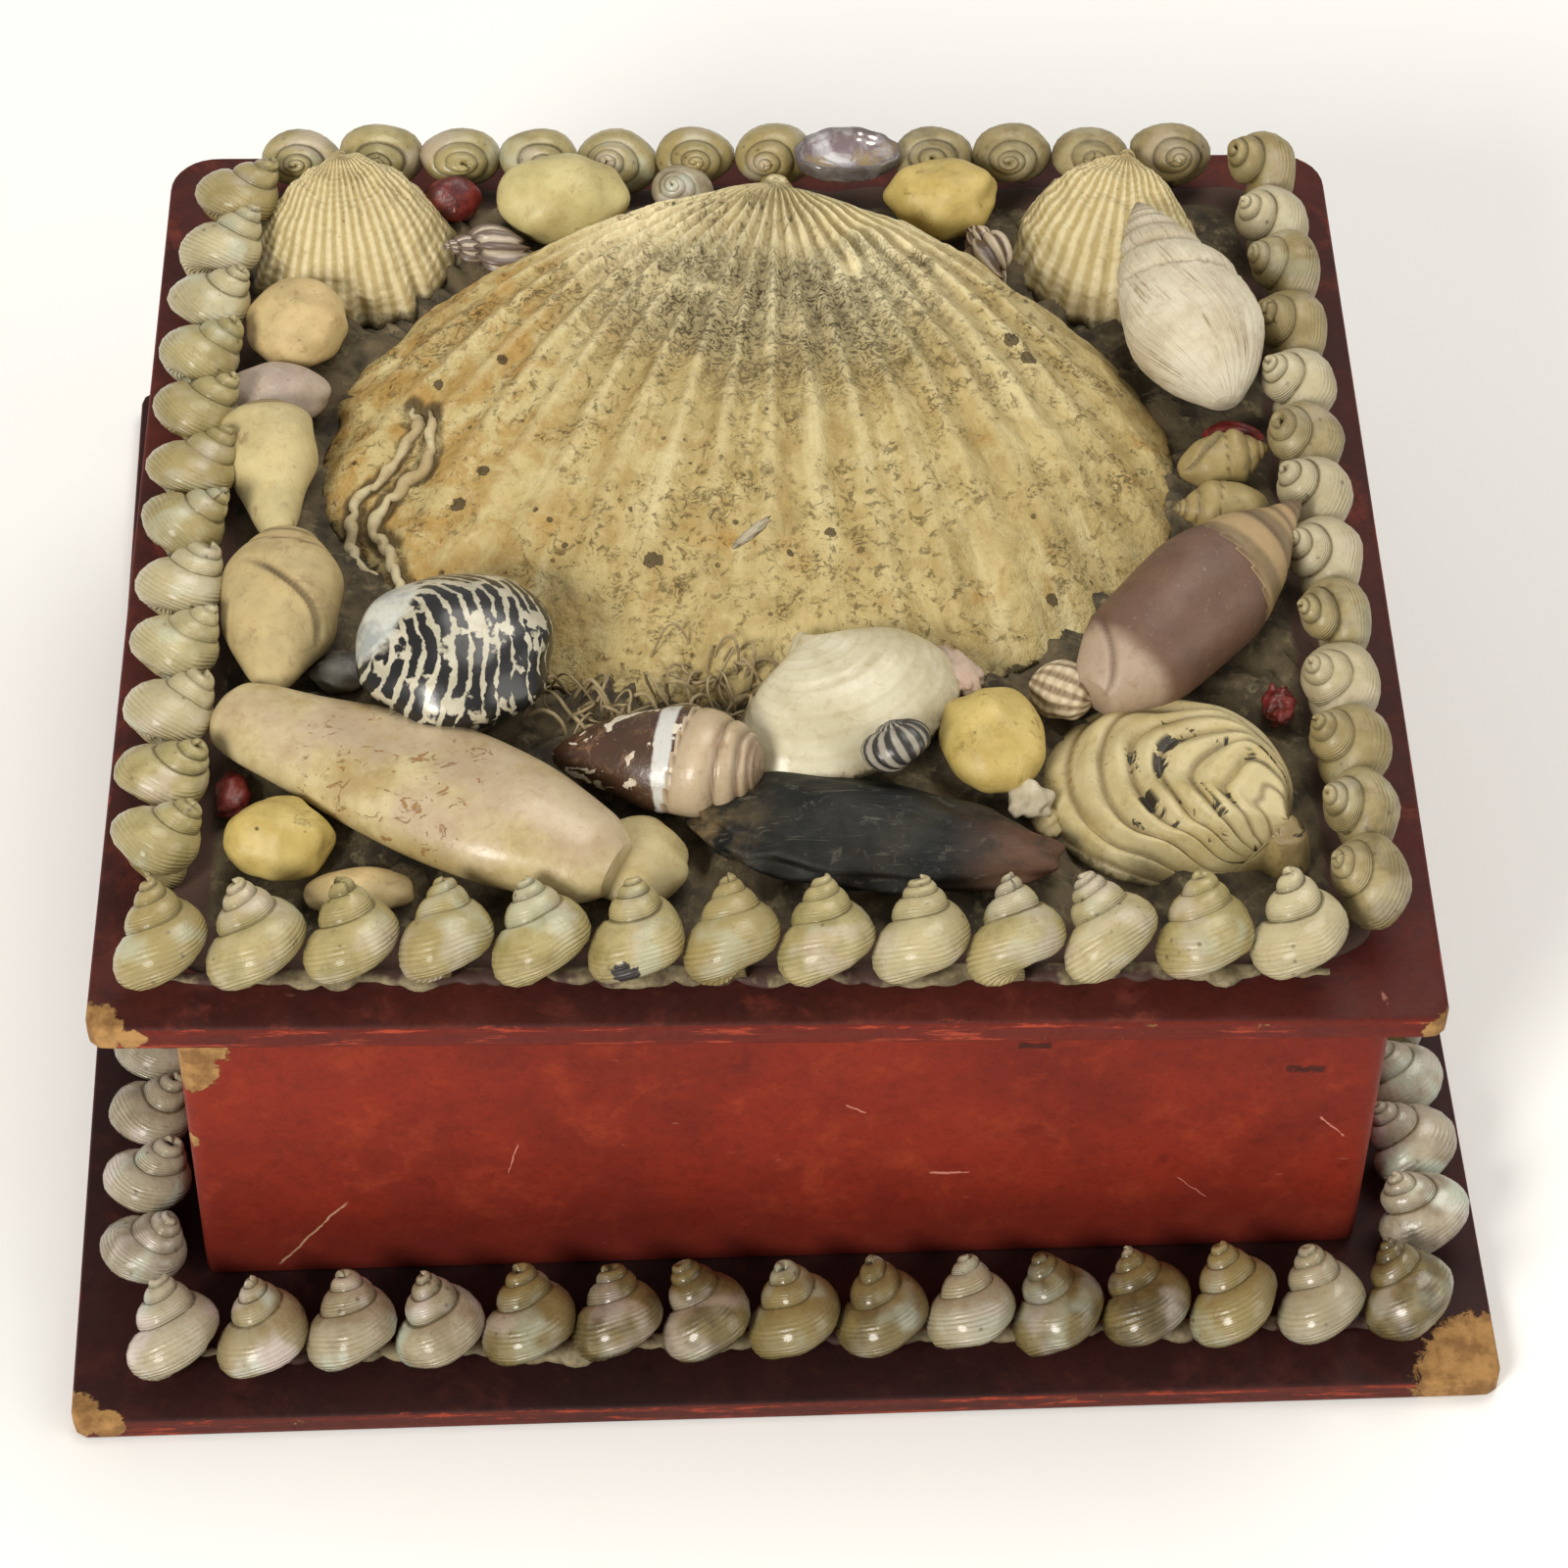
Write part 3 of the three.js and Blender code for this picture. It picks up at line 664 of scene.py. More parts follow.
def paint_smooth_shell(name, main, second, stain, stain_share=0.5, gloss=0.35, specks=0.4):
    """A smooth shell: two close colours, stains, small dark specks and a fine grain."""
    p = Paint(name)
    cloud, blotch = p.noise(150, 5, 0.6), p.noise(420, 5, 0.65)
    p.colour = p.mix(p.between(cloud, 0.35, 0.65), main, second)
    p.lay(stain, stain_share * p.blots(260, 6, 0.7, 0.56, 0.68, bend=0.6))
    dots = p.spots(330, 0.11, 0.05) * p.between(cloud, 0.5, 0.6)
    p.lay(scaled(stain, 0.25), specks * dots)
    p.foot_shade_and_stains(1.9)
    height = blotch + 0.35 * p.noise(900, 4, 0.7) - 0.8 * dots
    return p.finish(gloss + 0.3 * blotch, height, 0.2, 0.9, coat=(0.06, 0.3))


def paint_horn():
    """Smooth cream with a pinkish bloom along its back, and rusty cracks low down in the middle."""
    p = Paint("horn_shell")
    low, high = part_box("long_horn")
    cloud = p.noise(110, 5, 0.6)
    p.colour = p.mix(p.blots(75, 5, 0.65, 0.38, 0.62), (0.57, 0.48, 0.265), (0.38, 0.28, 0.12))
    bloom = p.between(p.value("foot"), 6.5, 11.0) * p.blots(60, 4, 0.6, 0.4, 0.58)
    p.lay((0.47, 0.36, 0.27), 0.6 * bloom)
    middle = ((low + high) / 2 - low) * 0.85 + low
    zone = p.patch((middle.x, middle.y, high.z - 3 * MM), 15, 0.8, 110)
    veins = p.noise(1.0, 4, 0.7, p.stretched(210, 330, 300, (0, 0, 0.5)), bend=2.2)
    cracks = p.between(veins, 0.6, 0.65) * p.most(0.9 * zone, 0.12)
    p.lay((0.30, 0.15, 0.045), cracks)
    p.foot_shade_and_stains(2.0)
    height = cloud + 0.4 * p.noise(800, 4, 0.7) - cracks
    return p.finish(0.36, height, 0.15, 0.8, coat=(0.15, 0.2))


def paint_whorled(
    name, body, spire, suture, band=None, lip=None, gloss=0.3, mottle=None, stripe=0.15,
    stripe_of=("whorl", 9.0), coat=0.15, stain=0.4,
):
    """A spindle shell: a body, a striped spire and a dark suture, and perhaps marks, a band, a pale lip and
    painted shade in the lip's fold.

    band is where it starts and ends, by share of the length, and its colour; lip its start and its colour.
    """
    p = Paint(name)
    cloud = p.noise(170, 5, 0.6)
    down, whorl = p.value("down"), p.value("whorl")
    wobble = down + 0.05 * (cloud - 0.5)
    p.colour = p.mix(p.between(cloud, 0.3, 0.7), body, scaled(body, 0.78))
    if mottle:
        marks = p.noise(1.0, 3, 0.6, p.joined(8.0 * down, 1.5 * p.value("turn")), bend=0.4)
        p.lay(mottle, p.between(marks, 0.575, 0.605))
    if band:
        low, high, shade = band
        p.lay(shade, p.between(wobble, low, low + 0.015) * p.between(wobble, high, high - 0.015))
    if lip:
        start, shade = lip
        p.lay(shade, p.between(wobble, start, start + 0.07))
    of, times = stripe_of
    stripes = p.between(p.math("SINE", times * p.value(of)), -0.4, 0.8)
    p.lay(p.mix(stripe * stripes, spire, scaled(spire, 0.4)), p.between(whorl, 0.0, 0.02))
    # dark in the sutures, and in the lip's fold as painted shade
    p.lay(suture, 0.75 * p.most(p.value("suture"), p.value("crease")))
    p.lay(scaled(suture, 2.2), stain * p.blots(250, 6, 0.72, 0.54, 0.68, bend=0.7))
    p.lay((0.45, 0.38, 0.28), 0.25 * p.blots(1100, 3, 0.7, 0.62, 0.75))
    p.foot_shade_and_stains(1.8)
    height = p.noise(380, 5, 0.65) + 0.3 * p.noise(1500, 3, 0.6)
    return p.finish(gloss + 0.2 * cloud, height, 0.14, 0.9, coat=(coat, 0.2))


def paint_cockle():
    """Ribbed: pale on the ribs, darker and stained between them, with fine growth rings."""
    p = Paint("cockle_shell")
    groove = (0.44, 0.345, 0.15)
    cloud = p.noise(190, 5, 0.6)
    p.colour = p.mix(p.between(p.value("rib"), -0.9, 0.5), groove, (0.66, 0.565, 0.335))
    p.lay((0.42, 0.31, 0.11), 0.6 * p.blots(240, 6, 0.7, 0.55, 0.7, bend=0.8))
    p.lay((0.12, 0.085, 0.03), 0.6 * (p.spots(520, 0.14, 0.05) * p.between(cloud, 0.46, 0.6)))
    rings = p.math("SINE", 160.0 * (p.value("share") + 0.03 * cloud))
    p.lay(groove, 0.12 * p.between(rings, 0.5, 1.0))
    p.foot_shade_and_stains(1.8)
    height = p.noise(900, 4, 0.7) + 0.8 * p.noise(350, 5, 0.6) + 0.35 * rings
    return p.finish(0.5, height, 0.14, 0.8)


# Small holes in the scallop, each painted as a dark patch of shade: middle (x, y), depth below its highest
# point and reach, all in mm.
SCALLOP_HOLES = [
    ((-16.4, -12.6), 9.5, 1.3), ((-46.3, 23.0), 8.6, 0.8), ((-37.0, 24.3), 5.1, 0.8),
    ((-43.5, 1.0), 11.3, 1.1), ((-40.0, 5.2), 8.8, 0.9), ((-28.6, -8.5), 10.4, 0.5),
    ((37.0, 25.7), 4.6, 1.2), ((39.3, 22.4), 5.2, 1.1), ((40.0, -16.6), 15.6, 0.9),
    ((8.8, -9.9), 7.6, 0.8), ((3.0, -12.3), 9.1, 0.6),
]


def paint_scallop():
    """Cream and tan in rays, ochre on the left, grey and pitted in the middle, with ribs pale on top; painted
    light on the umbo end and painted shade in its holes and by the worm tubes.
    """
    p = Paint("scallop_shell")
    share, across, rib = (p.value(name) for name in ("share", "across", "rib"))
    mid, fine = p.noise(170, 6, 0.68, bend=0.4), p.noise(750, 5, 0.7)
    rays = p.noise(1.0, 5, 0.65, p.joined(16.0 * across, 2.4 * share))
    p.colour = p.mix(p.between(mid, 0.36, 0.64), (0.53, 0.425, 0.195), (0.41, 0.305, 0.12))
    p.lay((0.64, 0.55, 0.3), 0.7 * p.between(rays, 0.5, 0.66))
    p.lay((0.35, 0.235, 0.08), 0.6 * p.between(rays, 0.48, 0.32))
    ochre = p.mix(p.between(fine, 0.3, 0.7), (0.47, 0.29, 0.085), (0.37, 0.22, 0.055))
    side = p.most(p.between(across, 0.0, -0.65), p.blots(60, 4, 0.6, 0.56, 0.68))
    p.lay(ochre, 0.9 * (side * p.between(share, 0.4, 0.62) * p.between(mid, 0.4, 0.6)))
    # painted light: the umbo end, which slopes away from the lamps, is made much paler
    umbo_light = p.between(share, 0.55, 0.3) * p.between(mid, 0.15, 0.4)
    p.lay((0.88, 0.78, 0.5), umbo_light)
    p.lay((0.34, 0.26, 0.12), 0.34 * (p.between(rib, 0.1, -0.9) * p.between(share, 0.8, 0.15)))
    p.lay((0.78, 0.69, 0.42), 0.6 * (p.between(rib, 0.1, 0.9) * p.between(share, 1.0, 0.15)))
    zone = p.between(share, 0.22, 0.34) * p.between(share, 0.62, 0.42)
    zone = zone * p.between(across, -0.62, -0.15) * p.between(across, 0.68, 0.25)
    zone = zone * p.blots(85, 5, 0.65, 0.34, 0.56)
    p.lay((0.26, 0.21, 0.105), 0.66 * zone)
    crust = p.blots(620, 6, 0.8, 0.54, 0.7, bend=0.7) * p.blots(70, 4, 0.6, 0.4, 0.6)
    p.lay((0.24, 0.165, 0.065), 0.35 * crust)
    p.lay((0.66, 0.58, 0.35), 0.35 * p.blots(300, 5, 0.75, 0.54, 0.7, bend=0.5))
    worms = p.between(p.noise(1.0, 4, 0.7, p.stretched(420, 640, 600), bend=2.6), 0.53, 0.59)
    pits_and_shade = worms * p.most(zone, 0.55 * p.blots(95, 4, 0.65, 0.55, 0.66))
    pits_and_shade = p.most(pits_and_shade, 0.85 * (p.spots(230, 0.13, 0.05) * p.between(mid, 0.5, 0.56)))
    # the furrow beside the worm tubes, darkened as painted shade
    pits_and_shade = p.most(pits_and_shade, p.between(p.value("furrow"), 0.25, 0.7) * p.between(mid, 0.36, 0.56))
    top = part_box("scallop")[1].z
    # the holes: dark patches of painted shade
    for (x, y), down, reach in SCALLOP_HOLES:
        pits_and_shade = p.most(pits_and_shade, p.patch((x * MM, y * MM, top - down * MM), reach, 2.2, 520))
    p.lay((0.075, 0.05, 0.02), 0.9 * pits_and_shade)
    p.foot_shade_and_stains(0.5)
    height = 1.5 * mid + 0.8 * fine - (1.6 * pits_and_shade + 0.5 * crust)
    return p.finish(0.6, height, 0.6, 1.0, specular=0.3)


def paint_zebra():
    """White with black dashes in wavering columns, and a bare grey-white end where the spire is worn off."""
    p = Paint("zebra_shell")
    along, turn = p.value("along"), p.value("turn")
    cloud = p.noise(200, 4, 0.6)
    sway = 1.9 * (p.noise(110, 3, 0.55) - 0.5)
    column = 5.6 * along + sway + (0.75 * abs(turn - 2.7) ** 2.0 - 1.7 * turn)
    number = p.math("FLOOR", column)
    offset = p.math("FRACT", 43.7 * p.math("SINE", 12.9 * number))
    run = 1.05 * turn + 0.75 * offset + (0.6 * sway + 0.3 * number)
    across = abs(p.math("FRACT", column) - 0.5)
    ends = abs(p.math("FRACT", run) - 0.5)
    dense = 0.1 * p.between(along, 0.0, 0.9)
    room, far = dense + 0.76 * p.noise(420, 3, 0.6), dense + 0.88 * p.noise(340, 3, 0.6)
    bare = p.between(along + 0.3 * (cloud - 0.5), -0.72, -0.8)
    dash = p.between(across, room, room - 0.07) * p.between(ends, far, far - 0.07) * (1.0 - bare)
    white = p.mix(p.between(cloud, 0.35, 0.65), (0.56, 0.52, 0.41), (0.42, 0.39, 0.29))
    grey = p.mix(p.between(cloud, 0.4, 0.6), (0.58, 0.59, 0.53), (0.34, 0.36, 0.35))
    p.colour = p.mix(bare, white, grey)
    p.lay((0.008, 0.008, 0.009), dash)
    p.foot_shade_and_stains(1.4)
    return p.finish(0.32, p.noise(500, 5, 0.6) + 0.2 * dash, 0.12, 0.6, coat=(0.3, 0.15))


def paint_mussel():
    """Blue-black with grey scuffs, fine pale scratches along it, a tan end and a rusty brown one."""
    p = Paint("mussel_shell")
    along = p.value("along")
    p.colour = p.mix(p.blots(120, 5, 0.6, 0.35, 0.65), (0.005, 0.006, 0.006), (0.02, 0.018, 0.013))
    p.lay((0.13, 0.062, 0.036), 0.8 * (p.between(along, 0.35, 0.85) * p.blots(140, 5, 0.65, 0.3, 0.6)))
    p.lay((0.16, 0.11, 0.05), 0.8 * (p.between(along, -0.55, -0.9) * p.blots(200, 5, 0.65, 0.35, 0.6)))
    lines = p.noise(1.0, 4, 0.7, p.stretched(90, 900, 600, (0, 0, 0.19)), bend=1.2)
    p.lay((0.15, 0.14, 0.11), 0.45 * p.between(lines, 0.6, 0.68))
    p.lay((0.1, 0.095, 0.075), 0.5 * p.blots(330, 6, 0.75, 0.56, 0.66, bend=0.8))
    p.foot_shade_and_stains(0.8)
    return p.finish(0.5, 0.6 * lines + p.noise(500, 5, 0.65), 0.2, 0.9, specular=0.22)


def paint_pearl():
    """The inside of a small valve: blue-grey and lilac nacre, with a dark rim."""
    p = Paint("pearl_inside")
    cloud = p.noise(260, 4, 0.6, bend=0.6)
    p.colour = p.mix(p.between(cloud, 0.35, 0.6), (0.48, 0.46, 0.48), (0.2, 0.15, 0.16))
    p.lay((0.34, 0.25, 0.13), p.blots(180, 3, 0.5, 0.52, 0.66))
    p.lay((0.07, 0.06, 0.055), 0.8 * p.between(p.value("radial"), 0.84, 0.97))
    return p.finish(0.2, cloud, 0.15, 0.6, coat=(0.5, 0.08))


def paint_putty_and_gap_shade():
    """Old setting compound: dull, lumpy, dusty, and stained red at its rim; its dark colour is partly painted
    shade between the shells.
    """
    p = Paint("lid_putty")
    cloud = p.noise(130, 6, 0.65)
    # dark base colour: partly painted shade, standing for the shade in the gaps between the shells
    p.colour = p.mix(p.between(cloud, 0.35, 0.62), (0.030, 0.022, 0.012), (0.125, 0.093, 0.048))
    p.lay((0.25, 0.20, 0.11), 0.6 * p.blots(330, 5, 0.7, 0.54, 0.66))
    p.lay((0.07, 0.035, 0.022), p.between(p.value("rim") + 0.8 * (cloud - 0.5), 0.3, 0.6))
    return p.finish(0.85, 1.2 * cloud + 0.5 * p.noise(900, 5, 0.7), 0.5, 0.9)


def paint_glue():
    p = Paint("old_glue")
    cloud = p.noise(260, 6, 0.7)
    p.colour = p.mix(p.between(cloud, 0.35, 0.65), (0.11, 0.08, 0.04), (0.3, 0.245, 0.14))
    p.lay((0.055, 0.022, 0.016), p.blots(120, 4, 0.6, 0.44, 0.56))
    return p.finish(0.7, cloud, 0.4, 0.9)


def paint_seed():
    p = Paint("seed_skin")
    cloud = p.noise(400, 5, 0.65)
    p.colour = p.mix(p.between(cloud, 0.35, 0.65), (0.21, 0.022, 0.016), (0.07, 0.009, 0.009))
    p.lay((0.42, 0.2, 0.14), p.blots(700, 3, 0.6, 0.66, 0.72))
    p.foot_shade_and_stains(0.8)
    return p.finish(0.42, cloud, 0.4, 0.9, coat=(0.08, 0.2))


def paint_fibre():
    p = Paint("dry_weed")
    cloud = p.noise(900, 3, 0.6)
    p.colour = p.mix(cloud, (0.42, 0.33, 0.18), (0.2, 0.145, 0.07))
    return p.finish(0.7, cloud, 0.1, 0.8)


CARD = (0.38, 0.21, 0.075)
CARD_DARK = (0.20, 0.10, 0.035)


def paint_paper(name, light, main, dark, scratches, tears, shade=None, side=None, brick=None, strokes=()):
    """Glazed paper over card: mottled, scuffed and scratched, and worn or torn through to the card.

    tears lists (x, y, z, reach in mm): the card shows within reach of each point, out to a ragged edge. shade
    is (low, high, colour): painted shadow, with the paper darkening from the high level down to the low one.
    side is the colour of the upright edges. brick is a point, reach and colour of redder paper, and strokes
    lists scratches.
    """
    p = Paint(name)
    edge = p.value("edge")
    cloud, mottle, grain = p.noise(28, 6, 0.62), p.noise(120, 6, 0.68, bend=0.3), p.noise(1600, 3, 0.7)
    p.colour = p.mix(p.between(cloud, 0.34, 0.66), dark, main)
    p.lay(light, 0.6 * p.between(mottle, 0.5, 0.72))
    p.lay(scaled(dark, 0.5), 0.6 * p.between(mottle, 0.42, 0.26))
    p.lay(scaled(main, 0.62), 0.3 * grain)
    if brick:
        centre, reach, tone = brick
        p.lay(tone, p.patch(centre, reach, 1.2, 60) * p.between(mottle, 0.3, 0.55))
    if side:
        p.lay(side, p.between(edge, 0.7, 0.85) * p.between(cloud, 0.2, 0.5))
    p.lay((0.55, 0.5, 0.48), 0.45 * p.blots(700, 6, 0.8, 0.44, 0.66, bend=0.4), "MULTIPLY")
    # painted shadow: darker from the high level down to the low one
    if shade:
        low, high, tone = shade
        p.lay(tone, 0.6 * p.between(p.axis("Z") + 0.02 * (cloud - 0.5), high, low))
    scuffs = p.noise(1.0, 4, 0.7, p.stretched(90, 90, 420, (0.1, 0.05, 0)), bend=0.5)
    p.lay((0.45, 0.2, 0.14), scratches * p.between(scuffs, 0.7, 0.76))
    rub = p.noise(1.0, 6, 0.75, p.stretched(95, 95, 700))
    p.lay((0.35, 0.05, 0.022), 0.85 * p.between(0.36 * edge + rub, 0.85, 0.95))
    for start, end, width, tone in strokes:
        p.lay(tone, 0.8 * p.stroke(start, end, width))
    bare = p.between(0.22 * edge + p.noise(170, 6, 0.7), 0.84, 0.91)
    for x, y, z, reach in tears:
        bare = p.most(bare, p.patch((x, y, z), reach, 0.95))
    p.lay(p.mix(p.blots(300, 5, 0.65, 0.35, 0.65), CARD, CARD_DARK), bare)
    height = 0.8 * mottle + 0.3 * grain - 1.2 * bare
    return p.finish(0.42 + 0.35 * p.most(bare, mottle), height, 0.2, 0.7, specular=0.18)


# ---------------------------------------------------------------- the box


def make_base():
    low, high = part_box("base_board")
    width, depth, bottom, top = board_size("base_board")
    levels = board_levels(bottom, top, 0.7 * MM)
    rings, edge = sheet_rings(width, depth, [2.5 * MM] * 4, levels, 480, wave=0.05 * MM)
    form = Form(rings, edge=edge).in_box("base_board")
    tears = [
        (high.x - 1 * MM, low.y + 1 * MM, high.z, 11.5),
        (low.x, low.y + 1 * MM, high.z, 4.4),
        (low.x + 5 * MM, low.y, high.z - 1 * MM, 2.6),
        (high.x, high.y, high.z, 3.0),
        (low.x, high.y, high.z, 1.5),
    ]
    tones = (0.085, 0.020, 0.015), (0.038, 0.010, 0.009), (0.017, 0.006, 0.006)
    paper = paint_paper("base_paper", *tones, 0.3, tears, side=(0.10, 0.020, 0.014))
    return make_piece("base", form, paper, "dark_paper", "base_board")


# Scratches on the tray's face: two ends (x, z) in metres, width in mm, colour.
PALE_SCRATCH, PINK_SCRATCH, DARK_MARK = (0.50, 0.30, 0.18), (0.55, 0.22, 0.16), (0.03, 0.008, 0.006)
TRAY_SCRATCHES = [
    ((-0.061, 0.021), (-0.072, 0.006), 0.24, PALE_SCRATCH),
    ((-0.037, 0.033), (-0.039, 0.026), 0.12, PINK_SCRATCH),
    ((0.031, 0.0515), (0.036, 0.0512), 0.9, DARK_MARK),
    ((0.068, 0.0450), (0.074, 0.0447), 1.0, DARK_MARK),
    ((0.074, 0.034), (0.078, 0.029), 0.22, PINK_SCRATCH),
    ((0.055, 0.021), (0.060, 0.016), 0.1, PINK_SCRATCH),
    ((0.020, 0.0235), (0.026, 0.0232), 0.3, PINK_SCRATCH),
    ((0.008, 0.0395), (0.011, 0.0375), 0.2, PINK_SCRATCH),
]


def make_tray():
    """The box itself: an open tray, hollow and empty."""
    low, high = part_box("box_tray")
    width, depth = high.x - low.x, high.y - low.y
    wall, floor, bevel = 3.5 * MM, low.z + 3 * MM, 0.3 * MM
    levels = [(40 * MM, low.z, 0.0), (1.0 * MM, low.z, 0.0), (bevel, low.z + bevel, 0.3)]
    for share in np.linspace(0, 1, 27):
        height = low.z + 0.8 * MM + (high.z - low.z - 1.6 * MM) * share
        levels.append((0, height, 0.75 * max(0.0, 1 - (1 - share) * 30)))
    levels += [
        (bevel, high.z - bevel, 1.0),
        (1.0 * MM, high.z, 0.8),
        (wall - 0.4 * MM, high.z, 0.5),
        (wall, high.z - 0.5 * MM, 0.2),
        (wall, floor + 0.6 * MM, 0.0),
        (wall + 1 * MM, floor, 0.0),
        (40 * MM, floor, 0.0),
    ]
    rings, edge = sheet_rings(width, depth, [1.6 * MM] * 4, levels, 420)
    off_corner = np.minimum(np.abs(np.abs(rings[..., :2]) - (width / 2, depth / 2)), 1).sum(-1)
    edge = np.maximum(edge, 0.8 * np.exp(-off_corner / (1.3 * MM)))
    form = Form(rings, edge=edge).moved(middle_of("box_tray"))
    tears = [
        (low.x + 1 * MM, low.y, high.z - 4 * MM, 7.5),
        (low.x + 0.5 * MM, low.y, high.z - 12 * MM, 5.0),
        (low.x, low.y, high.z - 28 * MM, 1.6),
    ]
    tones = (0.32, 0.044, 0.016), (0.235, 0.022, 0.009), (0.148, 0.014, 0.007)
    # the tray's face darkens towards its foot: painted shadow
    shade = (low.z + 1 * MM, low.z + 23 * MM, (0.105, 0.014, 0.010))
    paper = paint_paper("tray_paper", *tones, 0.8, tears, shade, strokes=TRAY_SCRATCHES)
    return make_piece("tray", form, paper, "red_paper", "box_tray")


def make_lid():
    """The lid's board, with a step under it that fits inside the tray."""
    low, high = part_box("lid_board")
    width, depth, bottom, top = board_size("lid_board", LID_TURN_DEG)
    under = bottom + 2.2 * MM
    levels = board_levels(under, top, 0.8 * MM)[:-2]
    step = [(8, under), (15.3, under), (15.5, bottom + 0.3 * MM), (16, bottom), (40, bottom)]
    levels += [(inset * MM, height, 0.0) for inset, height in step]
    radii = np.array([2.5, 2.5, 7, 7]) * MM
    rings, edge = sheet_rings(width, depth, radii, levels, 480)
    form = Form(rings, edge=edge).turned(flat_turn(0)).moved(middle_of("lid_board"))
    tears = [
        (low.x + 1 * MM, low.y + 5 * MM, high.z - 1 * MM, 4.2),
        (low.x + 6 * MM, low.y + 2.5 * MM, high.z - 2 * MM, 2.6),
        (high.x - 5 * MM, low.y + 1 * MM, high.z - 3 * MM, 3.0),
        (low.x + 4 * MM, high.y - 1 * MM, high.z, 3.0),
        (high.x - 1 * MM, high.y - 5 * MM, high.z, 2.5),
    ]
    tones = (0.22, 0.045, 0.028), (0.098, 0.019, 0.013), (0.040, 0.011, 0.010)
    brick = ((high.x - 10 * MM, low.y + 4 * MM, high.z), 34, (0.075, 0.012, 0.009))
    paper = paint_paper("lid_paper", *tones, 0.5, tears, side=(0.125, 0.013, 0.007), brick=brick)
    return make_piece("lid", form, paper, "dark_paper", "lid_board")


def make_bed():
    """The putty on the lid, heaped unevenly between the shells."""
    low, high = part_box("lid_putty_bed")
    width, depth = high.x - low.x - 14 * MM, high.y - low.y - 12 * MM
    insets = np.array([74, 62, 50, 40, 33, 27, 22, 18, 14, 11, 8, 5, 3, 1.8, 1.0, 0.4, 0])
    levels = [(inset * MM, 0.0, 0.0) for inset in insets]
    rings, _ = sheet_rings(width, depth, [9 * MM] * 4, levels, 460)
    share = insets[:, None] / 5.0
    lumps = 0.45 + 0.35 * noise_field(rings, 0.016, 15) + 0.30 * noise_field(rings, 0.005, 16)
    heaps = 3.0 * MM * np.clip(lumps, 0, None) * np.clip(share - 1, 0, 1)
    thick = (high.z - low.z) * (0.55 + 0.25 * lumps) + heaps
    rings[..., 2] = low.z + np.sqrt(np.clip(share, 0, 1)) * thick
    rim = 1 - smoothstep(3.5, 7.5, insets)
    rings[..., :2] *= 1 + 0.006 * noise_field(rings * (1, 1, 0), 0.012, 17)[..., None]
    foot = rings[-1:] * (0.97, 0.97, 0) + (0, 0, low.z)
    form = Form(np.concatenate([rings, foot]), rim=np.append(rim, rim[-1])[:, None])
    form.turned(flat_turn(0)).moved(middle_of("lid_putty_bed"))
    return make_piece("putty_bed", form, paint_putty_and_gap_shade(), "putty", "lid_putty_bed")


# ---------------------------------------------------------------- borders of top shells

# Each row: how many shells, the way its apexes point (heading and elevation), a first seed, and how far the
# row's low and high corners are moved from those of the node's box (x, y and z, in mm).
ROWS = {
    "lid_border_front": (13, 110, 44, 100, (0, -2.6, 0), (0, 0, 0.3)),
    "lid_border_right": (13, 186, 44, 120, (0, 0, 0), (0, -3.5, 0)),
    "lid_border_back_left": (7, 272, 42, 140, (1.5, -1.0, 0), (0, -1.5, -2.8)),
    "lid_border_back_right": (4, 268, 42, 150, (0, -1.0, 0), (-1.0, -1.5, -2.8)),
    "lid_border_left": (12, 36, 42, 160, (0.4, 0, 0), (0.4, -4.5, 0)),
    "base_border_front": (15, 114, 52, 180, (0, -2.0, 0), (0, 0, 0.3)),
    "base_border_right": (14, 152, 56, 200, (0, 0, 0), (0.8, 0, 0)),
    "base_border_back": (15, 270, 46, 220, (0, 0, 0), (0, 1.0, 0)),
    "base_border_left": (14, 42, 60, 240, (-0.8, 0, 0), (0, 0, 0)),
}
# How far to the right the last shell of a row moves, in mm (below 0 to the left); the two before move less.
TUCKED = {"lid_border_left": 3.2, "lid_border_right": -1.2}

# How many shells of these rows, from the front or the left, are pearly grey.
PEARLY = {"base_border_front": 4, "base_border_left": 5, "base_border_right": 3}


def top_shell(seed, heading, elevation):
    """One border shell, of its own size; its seed sets how slim, worn and turned it is."""
    rng = np.random.default_rng(seed)
    form = coil(
        turns=rng.uniform(3.1, 4.1), growth=rng.uniform(1.66, 1.82), reach=3.3, drop=rng.uniform(8.8, 10.2),
        wide=3.15, tall=rng.uniform(3.55, 3.85), shoulder=-0.2, steps=25, sides=16, lumps=0.014, seed=seed,
        suture_width=0.19,
    )
    form.mark("tint", rng.uniform(0, 1) ** 2)
    heading, elevation = heading + rng.uniform(-14, 14), elevation + rng.uniform(-9, 9)
    return form.turned(aim(heading, elevation, rng.uniform(-25, 25)))


